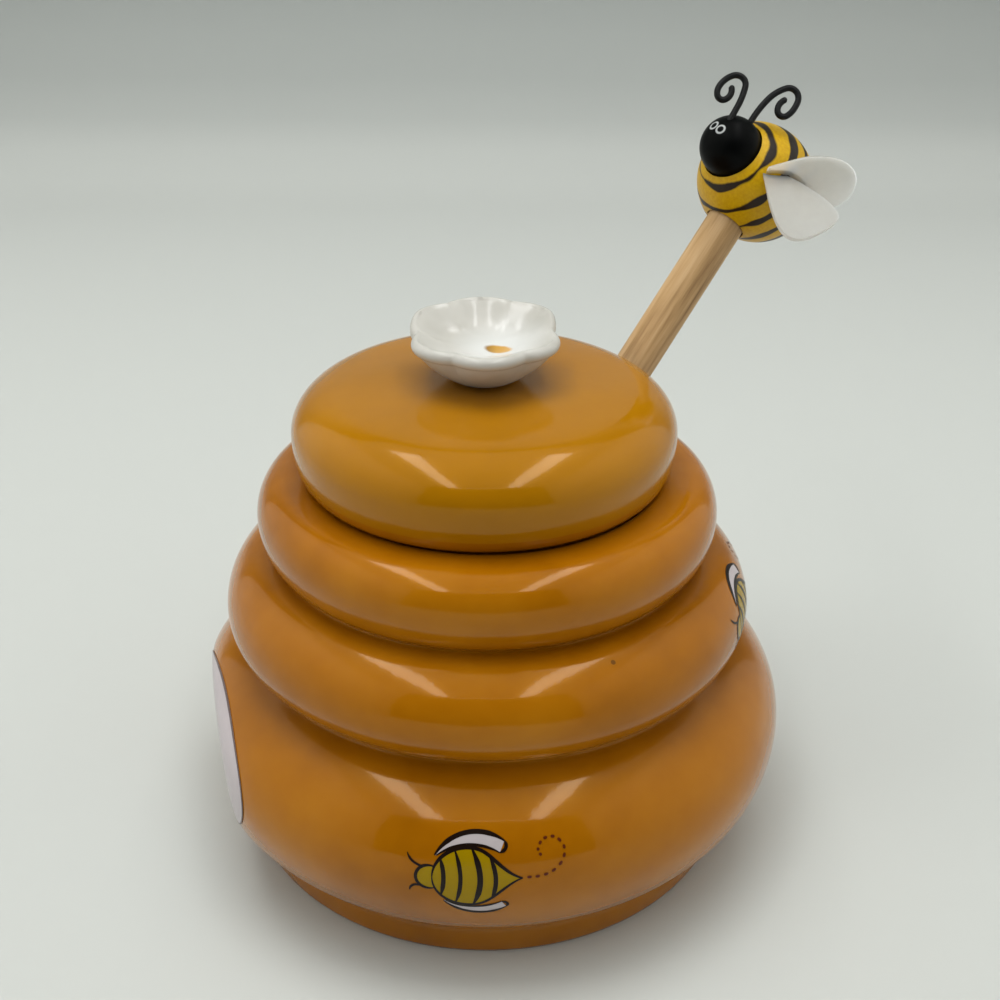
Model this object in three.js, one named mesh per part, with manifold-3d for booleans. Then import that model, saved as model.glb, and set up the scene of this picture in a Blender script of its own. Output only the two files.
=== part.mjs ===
// Ceramic honey jar: a pot cast as a beehive of three coils, a lift-off lid with a flower knob,
// and a wooden honey dipper that leans out through a notch in the lid and carries a bee.
// Millimetres, +Z up. The pot's axis is Z, its base lies on Z = 0 and its front faces -Y.

import * as THREE from 'three';
import { mergeVertices } from 'three/addons/utils/BufferGeometryUtils.js';
import Module from 'manifold-3d';

const wasm = await Module();
wasm.setup();

const degree = Math.PI / 180;

// Clearance that pieces keep where one rests on, or is glued into, another.
const seatGap = 0.3;

// How far a cutting shape runs past what it cuts, and how close two points weld into one.
const overrun = 5;
const weld = 1e-4;

// Smoothness: flats round a turned form, and steps along a curve.
const jarSegments = 56;
const lidSegments = 48;
const flowerSegments = 48;
const headSegments = 24;
const beadSegments = 20;
const coilSteps = 6;
const grooveSteps = 4;
const roundSteps = 5;
const wireSteps = 30;
const wireSides = 8;

// Pot: each coil has its widest radius, how far its bulge stands out, and its height above
// and below the widest line. The coils are stacked on the belly.
const bellyMiddle = 22.7;
const belly = { radius: 57, bulge: 16.7, rise: 16.3, drop: 17.5, middle: bellyMiddle };
const waist = { radius: 49, bulge: 9.8, rise: 10, drop: 8.4 };
const shoulder = { radius: 42.1, bulge: 5.9, rise: 6.8, drop: 8.1 };
const footRadius = 48;
const footEase = 0.9;
const wall = 4;
const floorThickness = 4.8;
const floorFlatRadius = 37;
const mouthRadius = 30.5;
const grooveSoftness = 2;
const footWallHeight = 4.2;
const footSoftness = 2.4;
const footCreaseAngle = 14 * degree;
const bellyTopAngle = 68 * degree;
const waistAngles = [-57 * degree, 74 * degree];
const shoulderBottomAngle = -62 * degree;
const floorCornerShares = [0.35, 0.45];

// Flat oval on the belly that carries the label. It leans in towards the foot.
const labelDepth = 4.5;
const labelAzimuth = -166 * degree;
const labelLean = 4.5 * degree;

// Lid: a fat round disc with a domed top, hollow below, and a skirt that drops in the mouth.
const lidRadius = 34.5;
const lidBulge = 10.5;
const lidRise = 8.2;
const lidDrop = 8;
const lidSeatWidth = 1.9;
const lidDome = 0.9;
const lidWall = 4.6;
const lidEdgeAngle = 70 * degree;
const skirtDepth = 4;
const skirtWall = 3;
const skirtClearance = 0.8;
const lidShift = 0.5;
const hollowCorner = 5;
const domeHandleShare = 0.45;

// Notch in the lid for the dipper's rod, with more room on its inner side than at its flanks.
const notchClearance = 1.6;
const notchReach = 1.6;

// Dipper: its rod leans on the rim of the mouth and its head rests on the floor of the pot.
const dipperAzimuth = 38.2 * degree;
const dipperLean = 43 * degree;
const rodRadius = 3.8;
const rodChamfer = 0.6;
const rodSocketDepth = 12;
const headLength = 34;
const headRadius = 11;
const headTipRadius = 5.5;
const headNeckRadius = 6.5;
const headCoreRadius = 6;
const headRidges = 6;
const headGrooveShare = 0.48;
const headGrooveCornerShare = 0.14;
const beeDistance = 144.6;

// Bee: a round body on the end of the rod, a head set in the body's collar, two wings, and
// two wire antennae. Its own frame has +Z towards the head and +X away from the rod.
const beeTilt = 88.5 * degree;
const beeRadius = 11.1;
const beeTailLength = 12.6;
const beeMiddle = -1;
const collarReach = 9.4;
const collarLip = 1.1;
const beeHeadRadius = 5.8;
const beeHeadReach = 10.4;
const beeHoleDepth = 8;

// Wings: leaf outline, thickness, and how far the leaf is cupped. Each wing has the place of
// its root on the body, the way it points, the way its upper face looks, and how its sides swell.
const wingThickness = 1.7;
const wingRootWidth = 3.4;
const wingBevel = 0.45;
const wingCup = 1.1;
const wingRootDepth = 2;
const leftWing = {
  length: 13.8,
  width: 13.3,
  rootShares: [-0.142, -0.862, 0.487],
  tipShares: [-0.318, -0.865, -0.389],
  faceShares: [0.343, -0.783, 0.519],
  flankShares: [0.68, 1.26, 1.36],
};
const rightWing = {
  length: 16.1,
  width: 12,
  rootShares: [-0.03, -0.89, 0.453],
  tipShares: [0.42, -0.37, -0.83],
  faceShares: [-0.63, -0.68, 0.37],
  flankShares: [0.43, 1.2, 1.11],
};

// Antennae: round wire set in the head and bent into a curl in one plane. The curl is given as
// the wire's heading, from the plane's up direction, at shares of its length.
const wireRadius = 0.52;
const wireHoleDepth = 2.2;
const curlUpShares = [0.83, 0.37, 0.41];
const curlAcrossShares = [0.55, -0.62, -0.56];
const leftAntenna = {
  length: 22.4,
  rootShares: [0.57, -0.1, 0.81],
  curlShares: [0, 0.2, 0.38, 0.49, 0.55, 0.7, 0.77, 0.86, 1],
  headings: [30, 29, 14, -68, -108, -149, -187, -293, -385].map((angle) => angle * degree),
};
const rightAntenna = {
  length: 24.5,
  rootShares: [0.95, -0.35, 0.22],
  curlShares: [0, 0.13, 0.31, 0.47, 0.58, 0.64, 0.71, 0.78, 0.88, 1],
  headings: [33, 33, 45, 73, 160, 201, 216, 241, 364, 440].map((angle) => angle * degree),
};

// Flower knob: a cup of six petals on a short foot.
const petalCount = 6;
const petalAzimuth = 95 * degree;
const flowerRadius = 13.7;
const flowerFootRadius = 5.6;
const flowerRimHeight = 8.4;
const flowerBowlHeight = 4.6;
const flowerBackRise = 1.8;
const petalThickness = 2.3;
const petalNotchShare = 0.1;
const petalRiseShare = 0.5;
const petalHollow = 1.1;
const petalRidgePower = 4;
const bowlHandleShare = 0.5;

// The two upper coils stand on the one below.
waist.middle = belly.middle + belly.rise + waist.drop;
shoulder.middle = waist.middle + waist.rise + shoulder.drop;
const rimTop = shoulder.middle + shoulder.rise;
const noseRadius = wall / 2;
const noseCentre = new THREE.Vector2(mouthRadius + noseRadius, rimTop - noseRadius);

// Lid heights.
const lidSeat = rimTop + seatGap;
const lidMiddle = lidSeat + lidDrop;
const lidTop = lidMiddle + lidRise + lidDome;
const skirtRadius = mouthRadius - skirtClearance;

const finish = {
  glaze: { color: 0xb4721c, roughness: 0.12, metalness: 0 },
  whiteGlaze: { color: 0xe6e5e0, roughness: 0.1, metalness: 0 },
  wood: { color: 0xc09f6e, roughness: 0.6, metalness: 0 },
  yellow: { color: 0xd8a50a, roughness: 0.45, metalness: 0 },
  black: { color: 0x17191a, roughness: 0.5, metalness: 0 },
  wing: { color: 0xdedfdc, roughness: 0.55, metalness: 0 },
  wire: { color: 0x1c2022, roughness: 0.4, metalness: 0.6 },
};

const point = (r, z) => new THREE.Vector2(r, z);

// Solid from a closed geometry: shared corners are welded and collapsed triangles dropped.
function solid(geometry) {
  const bare = geometry.clone();
  bare.deleteAttribute('normal');
  bare.deleteAttribute('uv');
  const merged = mergeVertices(bare, weld);
  const corners = merged.index.array;
  const kept = [];
  for (let i = 0; i < corners.length; i += 3) {
    const [a, b, c] = [corners[i], corners[i + 1], corners[i + 2]];
    if (a !== b && b !== c && c !== a) kept.push(a, b, c);
  }
  const shell = new wasm.Mesh({
    numProp: 3,
    vertProperties: new Float32Array(merged.attributes.position.array),
    triVerts: new Uint32Array(kept),
  });
  return new wasm.Manifold(shell);
}

function geometryOf(shape) {
  const mesh = shape.getMesh();
  const geometry = new THREE.BufferGeometry();
  geometry.setAttribute('position', new THREE.BufferAttribute(mesh.vertProperties, 3));
  geometry.setIndex(new THREE.BufferAttribute(mesh.triVerts, 1));
  geometry.computeVertexNormals();
  return geometry;
}

function piece(name, shape, look) {
  const mesh = new THREE.Mesh(geometryOf(shape), new THREE.MeshStandardMaterial(look));
  mesh.name = name;
  return mesh;
}

// Turned form about Z from a profile of (radius, height) points that runs upwards outside.
function turned(profile, segments) {
  const geometry = new THREE.LatheGeometry(profile, segments);
  geometry.rotateX(Math.PI / 2);
  return geometry;
}

function moved(geometry, matrix) {
  return geometry.clone().applyMatrix4(matrix);
}

// Points on one coil's outside, between two angles from its widest line.
function coilArc(coil, from, to, steps) {
  return Array.from({ length: steps + 1 }, (_, i) => {
    const angle = from + ((to - from) * i) / steps;
    const height = angle < 0 ? coil.drop : coil.rise;
    const r = coil.radius - coil.bulge + coil.bulge * Math.cos(angle);
    return point(r, coil.middle + height * Math.sin(angle));
  });
}

// Soft valley between the end of one run of points and the start of the next.
function groove(before, after, softness = grooveSoftness) {
  const start = before.at(-1);
  const end = after[0];
  const leave = start.clone().sub(before.at(-2)).setLength(softness);
  const arrive = end.clone().sub(after[1]).setLength(softness);
  const curve = new THREE.CubicBezierCurve(
    start, start.clone().add(leave), end.clone().add(arrive), end);
  return curve.getPoints(grooveSteps).slice(1, -1);
}

// The same run of points moved square to itself, to its left as it runs.
function offset(points, distance) {
  return points.map((p, i) => {
    const before = points[Math.max(i - 1, 0)];
    const after = points[Math.min(i + 1, points.length - 1)];
    const along = after.clone().sub(before).normalize();
    return point(p.x - along.y * distance, p.y + along.x * distance);
  });
}

// Outside of the pot from the foot to the top of the shoulder.
function potOutside() {
  const tuck = -Math.acos((footRadius - belly.radius + belly.bulge) / belly.bulge);
  const lower = coilArc(belly, tuck + footCreaseAngle, 0, coilSteps);
  const foot = [point(footRadius, footEase), point(footRadius, footWallHeight)];
  const upper = coilArc(belly, 0, bellyTopAngle, coilSteps);
  const middle = coilArc(waist, waistAngles[0], waistAngles[1], coilSteps);
  const top = coilArc(shoulder, shoulderBottomAngle, Math.PI / 2, coilSteps);
  return {
    foot: [point(footRadius - footEase, 0), ...foot, ...groove(foot, lower, footSoftness)],
    lower: lower.slice(0, -1),
    coils: [...upper, ...groove(upper, middle), ...middle, ...groove(middle, top), ...top],
  };
}

// Rounded edge of the mouth, from its underside to its top.
function mouthNose() {
  return Array.from({ length: roundSteps + 1 }, (_, i) => {
    const angle = Math.PI * (1.5 - i / roundSteps);
    return point(noseCentre.x + noseRadius * Math.cos(angle), noseCentre.y + noseRadius * Math.sin(angle));
  });
}

// Inside of the pot: the poured wall follows the coils, and a soft corner leads to the floor.
function potInside(coils) {
  const wallLine = offset(coils, wall).filter((_, i) => i % 2 === 0 || i === coils.length - 1);
  const side = point(belly.radius - wall, belly.middle);
  const flat = point(floorFlatRadius, floorThickness);
  const corner = new THREE.CubicBezierCurve(
    flat,
    point(flat.x + (side.x - flat.x) * floorCornerShares[0], flat.y),
    point(side.x, side.y - (side.y - flat.y) * floorCornerShares[1]),
    side);
  return [...corner.getPoints(roundSteps), ...wallLine.slice(1)];
}

// Space beyond the leaning plane of the label, at a distance from the axis, as a slab.
function slabBeyond(distance, azimuth) {
  const size = belly.radius + rimTop;
  const slab = new THREE.BoxGeometry(size, size, size);
  slab.translate(distance + size / 2, 0, 0);
  slab.rotateY(labelLean);
  slab.translate(0, 0, belly.middle);
  slab.rotateZ(azimuth);
  return solid(slab);
}

function buildJar() {
  const { foot, lower, coils } = potOutside();
  const outline = [...foot, ...lower, ...coils];
  const inside = potInside(coils);
  const shell = solid(turned([
    point(0, 0), ...outline, ...mouthNose().reverse(), ...inside.reverse().slice(1),
    point(0, floorThickness),
  ], jarSegments));
  const filled = solid(turned([point(0, 0), ...outline, point(0, rimTop)], jarSegments));

  // The wall is flattened inside and outside where the label sits.
  const labelPlane = belly.radius - labelDepth;
  const backing = filled.intersect(slabBeyond(labelPlane - wall, labelAzimuth));
  return shell.add(backing).subtract(slabBeyond(labelPlane, labelAzimuth));
}

function lidProfile() {
  const lower = Array.from({ length: roundSteps + 1 }, (_, i) => {
    const angle = (Math.PI / 2) * (i / roundSteps - 1);
    const reach = lidRadius - lidSeatRadius();
    return point(lidSeatRadius() + reach * Math.cos(angle), lidMiddle + lidDrop * Math.sin(angle));
  });
  const edge = Array.from({ length: roundSteps + 1 }, (_, i) => {
    const angle = (lidEdgeAngle * i) / roundSteps;
    return point(lidRadius - lidBulge + lidBulge * Math.cos(angle), lidMiddle + lidRise * Math.sin(angle));
  });
  const edgeEnd = edge.at(-1);
  const climb = edgeEnd.clone().sub(edge.at(-2));
  const handle = climb.setLength((lidTop - edgeEnd.y) / Math.sin(climb.angle()) * domeHandleShare);
  const dome = new THREE.CubicBezierCurve(
    edgeEnd, edgeEnd.clone().add(handle), point(edgeEnd.x * domeHandleShare, lidTop), point(0, lidTop));

  const skirtInner = skirtRadius - skirtWall;
  const roof = lidTop - lidWall;
  const roofEdge = lidTop - lidDome - lidWall;
  const hollow = new THREE.CubicBezierCurve(
    point(0, roof),
    point(skirtInner * domeHandleShare, roof),
    point(skirtInner, roofEdge),
    point(skirtInner, roofEdge - hollowCorner));
  return [
    ...hollow.getPoints(roundSteps),
    point(skirtInner, lidSeat - skirtDepth),
    point(skirtRadius, lidSeat - skirtDepth),
    point(skirtRadius, lidSeat),
    ...lower,
    ...edge.slice(1),
    ...dome.getPoints(roundSteps).slice(1),
  ];
}

// Outer edge of the flat ring on which the lid stands.
function lidSeatRadius() {
  return skirtRadius + lidSeatWidth;
}

function buildLid(dipperFrame) {
  const disc = solid(turned(lidProfile(), lidSegments));

  // Notch: the rod's own hole, open towards the lid's edge, sloped as the rod leans.
  const radius = rodRadius + notchClearance;
  const outline = new THREE.Shape();
  outline.absarc(-notchReach, 0, radius, Math.PI / 2, (3 * Math.PI) / 2, false);
  outline.lineTo(lidRadius + lidTop, -radius);
  outline.lineTo(lidRadius + lidTop, radius);
  outline.closePath();
  const slot = new THREE.ExtrudeGeometry(outline, {
    depth: beeDistance, bevelEnabled: false, curveSegments: roundSteps * 2,
  });
  slot.applyMatrix4(dipperFrame);
  slot.translate(lidShift, 0, 0);
  return disc.subtract(solid(slot));
}

// Flower: a cup turned from a profile, then drawn out into petals.
function buildFlower() {
  const foot = lidTop + seatGap;
  const rim = foot + flowerRimHeight;
  const bowl = foot + flowerBowlHeight;
  const lip = flowerRadius - petalThickness / 2;
  const under = new THREE.CubicBezierCurve(
    point(flowerFootRadius, foot),
    point(flowerFootRadius, foot + flowerBowlHeight * bowlHandleShare),
    point(lip - petalThickness, rim - petalThickness * 2),
    point(lip, rim - petalThickness));
  const inner = new THREE.CubicBezierCurve(
    point(lip, rim),
    point(lip - petalThickness * 2, rim - petalThickness / 2),
    point(flowerFootRadius, bowl),
    point(0, bowl));
  const geometry = turned([
    point(0, foot),
    ...under.getPoints(roundSteps),
    point(flowerRadius, rim - petalThickness / 2),
    ...inner.getPoints(roundSteps),
  ], flowerSegments);

  const place = geometry.attributes.position;
  for (let i = 0; i < place.count; i++) {
    const [x, y, z] = [place.getX(i), place.getY(i), place.getZ(i)];
    const r = Math.hypot(x, y);
    const azimuth = Math.atan2(y, x);
    const out = THREE.MathUtils.smoothstep(r, flowerFootRadius, flowerRadius);
    const turn = ((azimuth - petalAzimuth) * petalCount) / 2;
    const scale = 1 - petalNotchShare * out * (1 - Math.abs(Math.cos(turn)));
    const back = THREE.MathUtils.smoothstep(Math.sin(azimuth), 0, petalRiseShare) * flowerBackRise * out;
    const ridge = petalHollow * Math.sin(turn) ** petalRidgePower * Math.sin(Math.PI * out);
    place.setXYZ(i, x * scale, y * scale, z + back + (z > foot ? ridge : 0));
  }
  return solid(geometry);
}

// Head of the dipper: an egg form with square grooves turned into it.
function headRadiusAt(share) {
  const low = THREE.MathUtils.lerp(headTipRadius, headNeckRadius, share);
  return low + (headRadius - low) * Math.sqrt(Math.sin(Math.PI * share));
}

function headProfile() {
  const pitch = headLength / (headRidges + 1);
  const half = (pitch * headGrooveShare) / 2;
  const corner = pitch * headGrooveCornerShare;
  const profile = [point(0, 0), point(headTipRadius, 0)];
  for (let ridge = 1; ridge <= headRidges; ridge++) {
    const middle = pitch * ridge;
    const floor = Math.min(headCoreRadius, headRadiusAt(middle / headLength));
    const edges = [middle - half - corner, middle - half, middle + half, middle + half + corner];
    const radii = [headRadiusAt(edges[0] / headLength), floor, floor, headRadiusAt(edges[3] / headLength)];
    edges.forEach((height, i) => profile.push(point(radii[i], height)));
  }
  profile.push(point(headNeckRadius, headLength), point(0, headLength));
  return profile;
}

// Where the dipper's tip lies: on the rod's line past the mouth, with the head on the floor.
function dipperMatrix() {
  const sine = Math.sin(dipperLean);
  const cosine = Math.cos(dipperLean);
  const lowest = Math.min(...headProfile().map((p) => p.y * cosine - p.x * sine));
  const height = floorThickness + seatGap - lowest;
  const rimRadius = noseCentre.x - (noseRadius + rodRadius + seatGap) / cosine;
  const reach = rimRadius + (height - noseCentre.y) * Math.tan(dipperLean);
  const turn = new THREE.Euler(0, dipperLean, dipperAzimuth, 'ZYX');
  const place = new THREE.Vector3(
    reach * Math.cos(dipperAzimuth), reach * Math.sin(dipperAzimuth), height);
  return new THREE.Matrix4().makeRotationFromEuler(turn).setPosition(place);
}

function rod(radius, from, to, ease) {
  return turned([
    point(0, from), point(radius - ease, from), point(radius, from + ease),
    point(radius, to - ease), point(radius - ease, to), point(0, to),
  ], headSegments);
}

function buildHead() {
  const blank = solid(turned(headProfile(), headSegments));
  const bore = rod(rodRadius + seatGap, headLength - rodSocketDepth, headLength + overrun, rodChamfer);
  return blank.subtract(solid(bore));
}

// The rod runs from the head's socket to the floor of the hole in the bee.
const rodEnd = beeDistance - beeRadius + beeHoleDepth;

function buildRod() {
  return solid(rod(rodRadius, headLength - rodSocketDepth + seatGap, rodEnd - seatGap, rodChamfer));
}

// Bee's body without its holes, grown by a margin.
function beeBlank(margin) {
  const radius = beeRadius + margin;
  const front = collarReach + margin - beeMiddle;
  const mouth = Math.acos(front / (radius + collarLip));
  const steps = coilSteps * 2;
  const profile = Array.from({ length: steps + 1 }, (_, i) => {
    const angle = ((Math.PI - mouth) * i) / steps - Math.PI / 2;
    const length = angle < 0 ? beeTailLength + margin : radius + collarLip;
    return point(radius * Math.max(0, Math.cos(angle)), beeMiddle + length * Math.sin(angle));
  });
  return turned([...profile, point(0, profile.at(-1).y)], beadSegments);
}

function ball(radius, height) {
  const steps = coilSteps + 1;
  const profile = Array.from({ length: steps + 1 }, (_, i) => {
    const angle = (Math.PI * i) / steps - Math.PI / 2;
    return point(radius * Math.max(0, Math.cos(angle)), height + radius * Math.sin(angle));
  });
  return turned(profile, beadSegments);
}

function buildBeeBody(beeFrame) {
  const hole = rod(rodRadius + seatGap, 0, rodEnd, rodChamfer);
  return solid(beeBlank(0))
    .subtract(solid(ball(beeHeadRadius + seatGap, beeHeadReach)))
    .subtract(solid(moved(hole, beeFrame.clone().invert())));
}

// Matrix that puts +X along one direction and +Z as near as it can to another.
function basis(along, face, origin) {
  const x = along.clone().normalize();
  const y = face.clone().cross(x).normalize();
  const z = x.clone().cross(y);
  return new THREE.Matrix4().makeBasis(x, y, z).setPosition(origin);
}

// One wing: a cupped leaf, grown by a margin, that starts on the body's surface.
function wingBlank(wing, margin) {
  const [length, half] = [wing.length + margin, wing.width / 2 + margin];
  const [back, root] = [-wingRootDepth - margin, wingRootWidth / 2 + margin];
  const outline = new THREE.Shape();
  outline.moveTo(back, -root);
  const neck = length * wing.flankShares[0];
  const [flank, shoulderWidth] = wing.flankShares.slice(1).map((share) => half * share);
  outline.bezierCurveTo(neck, -flank, length, -shoulderWidth, length, 0);
  outline.bezierCurveTo(length, shoulderWidth, neck, flank, back, root);
  outline.closePath();
  const leaf = new THREE.ExtrudeGeometry(outline, {
    depth: wingThickness - wingBevel * 2 + margin * 2,
    bevelThickness: wingBevel,
    bevelSize: wingBevel,
    bevelOffset: -wingBevel,
    bevelSegments: 1,
    curveSegments: coilSteps,
  });
  leaf.translate(0, 0, wingBevel - wingThickness / 2 - margin);
  const place = leaf.attributes.position;
  for (let i = 0; i < place.count; i++) {
    const across = place.getY(i) / half;
    place.setZ(i, place.getZ(i) - wingCup * across * across);
  }
  const origin = new THREE.Vector3(...wing.rootShares).setLength(beeRadius);
  return moved(leaf, basis(
    new THREE.Vector3(...wing.tipShares), new THREE.Vector3(...wing.faceShares), origin));
}

function buildWing(wing) {
  return solid(wingBlank(wing, 0)).subtract(solid(beeBlank(seatGap)));
}

// The wire's centre line, walked along its heading from the floor of its hole.
function antennaPath(antenna) {
  const up = new THREE.Vector3(...curlUpShares).normalize();
  const across = new THREE.Vector3(...curlAcrossShares).normalize();
  const way = (share) => {
    const next = antenna.curlShares.findIndex((mark) => mark > share);
    const [low, high] = [antenna.curlShares[next - 1], antenna.curlShares[next]];
    const heading = THREE.MathUtils.mapLinear(
      share, low, high, antenna.headings[next - 1], antenna.headings[next]);
    return up.clone().multiplyScalar(Math.cos(heading)).addScaledVector(across, Math.sin(heading));
  };
  const root = new THREE.Vector3(...antenna.rootShares).setLength(beeHeadRadius);
  const points = [root.addScaledVector(way(0), -wireHoleDepth).add(new THREE.Vector3(0, 0, beeHeadReach))];
  for (let i = 0; i < wireSteps; i++) {
    const step = way((i + 0.5) / wireSteps).multiplyScalar(antenna.length / wireSteps);
    points.push(points.at(-1).clone().add(step));
  }
  return points;
}

function tube(points, radius, steps) {
  const section = new THREE.Shape();
  section.absarc(0, 0, radius, 0, 2 * Math.PI, false);
  return new THREE.ExtrudeGeometry(section, {
    extrudePath: new THREE.CatmullRomCurve3(points), steps, curveSegments: wireSides,
  });
}

const antennae = { antenna_left: leftAntenna, antenna_right: rightAntenna };

function buildBeeHead() {
  let head = solid(ball(beeHeadRadius, beeHeadReach));
  for (const antenna of Object.values(antennae)) {
    const [start, next] = antennaPath(antenna);
    const way = next.clone().sub(start).normalize();
    const floor = start.clone().addScaledVector(way, -seatGap);
    const hole = tube([floor, start.clone().addScaledVector(way, overrun)], wireRadius + seatGap, 1);
    head = head.subtract(solid(hole));
  }
  return head;
}

const dipperFrame = dipperMatrix();
const model = new THREE.Group();
model.add(piece('jar', buildJar(), finish.glaze));

// The lid and its knob lie a little to the left of the axis, within the play of the skirt.
const lidGroup = new THREE.Group();
lidGroup.position.x = -lidShift;
lidGroup.add(
  piece('lid', buildLid(dipperFrame), finish.glaze),
  piece('flower_knob', buildFlower(), finish.whiteGlaze),
);
model.add(lidGroup);

const dipper = new THREE.Group();
dipper.applyMatrix4(dipperFrame);
dipper.add(
  piece('dipper_head', buildHead(), finish.wood),
  piece('dipper_rod', buildRod(), finish.wood),
);
model.add(dipper);

// The bee sits across the end of the rod.
const beeFrame = new THREE.Matrix4().makeRotationY(-beeTilt).setPosition(0, 0, beeDistance);
const bee = new THREE.Group();
bee.applyMatrix4(beeFrame);
bee.add(
  piece('bee_body', buildBeeBody(beeFrame), finish.yellow),
  piece('bee_head', buildBeeHead(), finish.black),
  piece('bee_wing_left', buildWing(leftWing), finish.wing),
  piece('bee_wing_right', buildWing(rightWing).subtract(solid(wingBlank(leftWing, seatGap))), finish.wing),
);
for (const [name, antenna] of Object.entries(antennae)) {
  bee.add(piece(name, solid(tube(antennaPath(antenna), wireRadius, wireSteps)), finish.wire));
}
dipper.add(bee);

export default model;
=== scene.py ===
"""Looks of a beehive honey jar: glazed pot and lid, flower knob, wooden dipper and painted bee.

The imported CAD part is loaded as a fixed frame. Each visible piece is modelled again here with
fine curves, in metres, in the same frame, and stands for its CAD node. +Z is up, the pot's
axis is Z and its front faces -Y. Sizes below are in millimetres unless a property says so.
"""

import math

import bpy
import numpy as np
from mathutils import Matrix, Vector
from mathutils.geometry import interpolate_bezier


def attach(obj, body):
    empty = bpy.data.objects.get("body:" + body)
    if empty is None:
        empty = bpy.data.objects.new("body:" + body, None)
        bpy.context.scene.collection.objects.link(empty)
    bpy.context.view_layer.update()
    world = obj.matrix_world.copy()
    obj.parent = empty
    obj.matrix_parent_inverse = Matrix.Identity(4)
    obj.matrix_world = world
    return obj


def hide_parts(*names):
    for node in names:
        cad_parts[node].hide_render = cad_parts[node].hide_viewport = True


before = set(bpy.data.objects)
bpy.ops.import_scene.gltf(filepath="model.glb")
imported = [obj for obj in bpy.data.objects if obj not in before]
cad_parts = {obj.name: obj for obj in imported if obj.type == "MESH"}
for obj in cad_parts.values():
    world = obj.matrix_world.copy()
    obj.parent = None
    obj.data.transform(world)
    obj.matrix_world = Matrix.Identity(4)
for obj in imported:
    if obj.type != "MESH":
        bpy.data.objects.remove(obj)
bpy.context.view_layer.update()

bl_info = {
    "name": "Honey jar",
    "version": (1, 0, 0),
    "blender": (4, 5, 0),
    "location": "View3D > Sidebar > Honey jar",
    "description": "Models a beehive honey jar with its lid, dipper and bee",
    "category": "Add Mesh",
}

MM = 0.001

# Points closer than this, in millimetres, are one point.
TOLERANCE = 0.002

# Steps round and along that set how fine the meshes are.
TURN_STEPS = 192
FLOWER_STEPS = 240
SMALL_STEPS = 96
ARC_STEPS = 18
GROOVE_STEPS = 10

# Pot: widest radius, bulge, rise above and drop below the widest line of each coil.
BELLY = {"radius": 57.0, "bulge": 16.7, "rise": 16.3, "drop": 17.5, "middle": 22.7}
WAIST = {"radius": 49.0, "bulge": 9.8, "rise": 10.0, "drop": 8.4}
SHOULDER = {"radius": 42.1, "bulge": 5.9, "rise": 6.8, "drop": 8.1}
WAIST["middle"] = BELLY["middle"] + BELLY["rise"] + WAIST["drop"]
SHOULDER["middle"] = WAIST["middle"] + WAIST["rise"] + SHOULDER["drop"]
RIM_TOP = SHOULDER["middle"] + SHOULDER["rise"]
FOOT_RADIUS = 48.0
FOOT_EASE = 0.9
EASE_SHARE = 0.3
WALL = 4.0
FLOOR = 4.8
FLOOR_FLAT = 37.0
CORNER_HANDLES = (0.45, 0.35)
MOUTH_RADIUS = 30.5
GROOVE_SOFTNESS = 2.0
FOOT_SOFTNESS = 2.4
FOOT_WALL = 4.2
FOOT_CREASE = math.radians(14)
BELLY_TOP = math.radians(68)
BELLY_LOW = 1.05
WAIST_ENDS = (math.radians(-57), math.radians(74))
SHOULDER_BOTTOM = math.radians(-62)
LABEL_AZIMUTH = math.radians(-166)
LABEL_DEPTH = 4.5
LABEL_LEAN = math.radians(4.5)
LABEL_SOFTNESS = 0.8

# Label: how far it lies across and up from the middle of its flat, and how far the field and its
# line stand proud. Its two grids meet this far from its middle line.
LABEL_PLACE = (4.0, 5.0)
LABEL_PROUD = 0.1
LABEL_LINE_PROUD = 0.14
LABEL_CORE = 1.0

# Gap between pieces that touch.
SEAT_GAP = 0.3

# Lid.
LID_RADIUS = 34.5
LID_BULGE = 10.5
LID_RISE = 8.2
LID_DROP = 8.0
LID_SEAT_WIDTH = 1.9
LID_DOME = 0.9
LID_WALL = 4.6
HOLLOW_SIDE = 5.0
LID_EDGE = math.radians(70)
LID_SHIFT = 0.5
SKIRT_DEPTH = 4.0
SKIRT_WALL = 3.0
SKIRT_RADIUS = MOUTH_RADIUS - 0.8
DOME_HANDLE = 0.45
LID_SEAT = RIM_TOP + SEAT_GAP
LID_MIDDLE = LID_SEAT + LID_DROP
LID_TOP = LID_MIDDLE + LID_RISE + LID_DOME
NOTCH_RADIUS = 5.4
NOTCH_REACH = 1.6

# Flower knob.
PETALS = 6
PETAL_AZIMUTH = math.radians(95)
FLOWER_RADIUS = 13.7
FLOWER_FOOT = 5.6
FLOWER_RIM = 8.4
FLOWER_BOWL = 4.6
FLOWER_RISE = 1.8
PETAL_THICK = 2.3
PETAL_NOTCH = 0.1

# Dish pressed in each petal: its middle's place from the flower's, its radius and depth, and the
# height of the ridges between the dishes.
DISH_PLACE = 9.6
DISH_RADIUS = 4.6
DISH_DEPTH = 0.8
PETAL_RIDGE = 0.1

# Brushed spot in the flower's cup.
SPOT_CENTRE = (1.9, 0.2, 94.6)
SPOT_LENGTH = 2.7
SPOT_WIDTH = 1.45
SPOT_TURN = math.radians(38)

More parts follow.
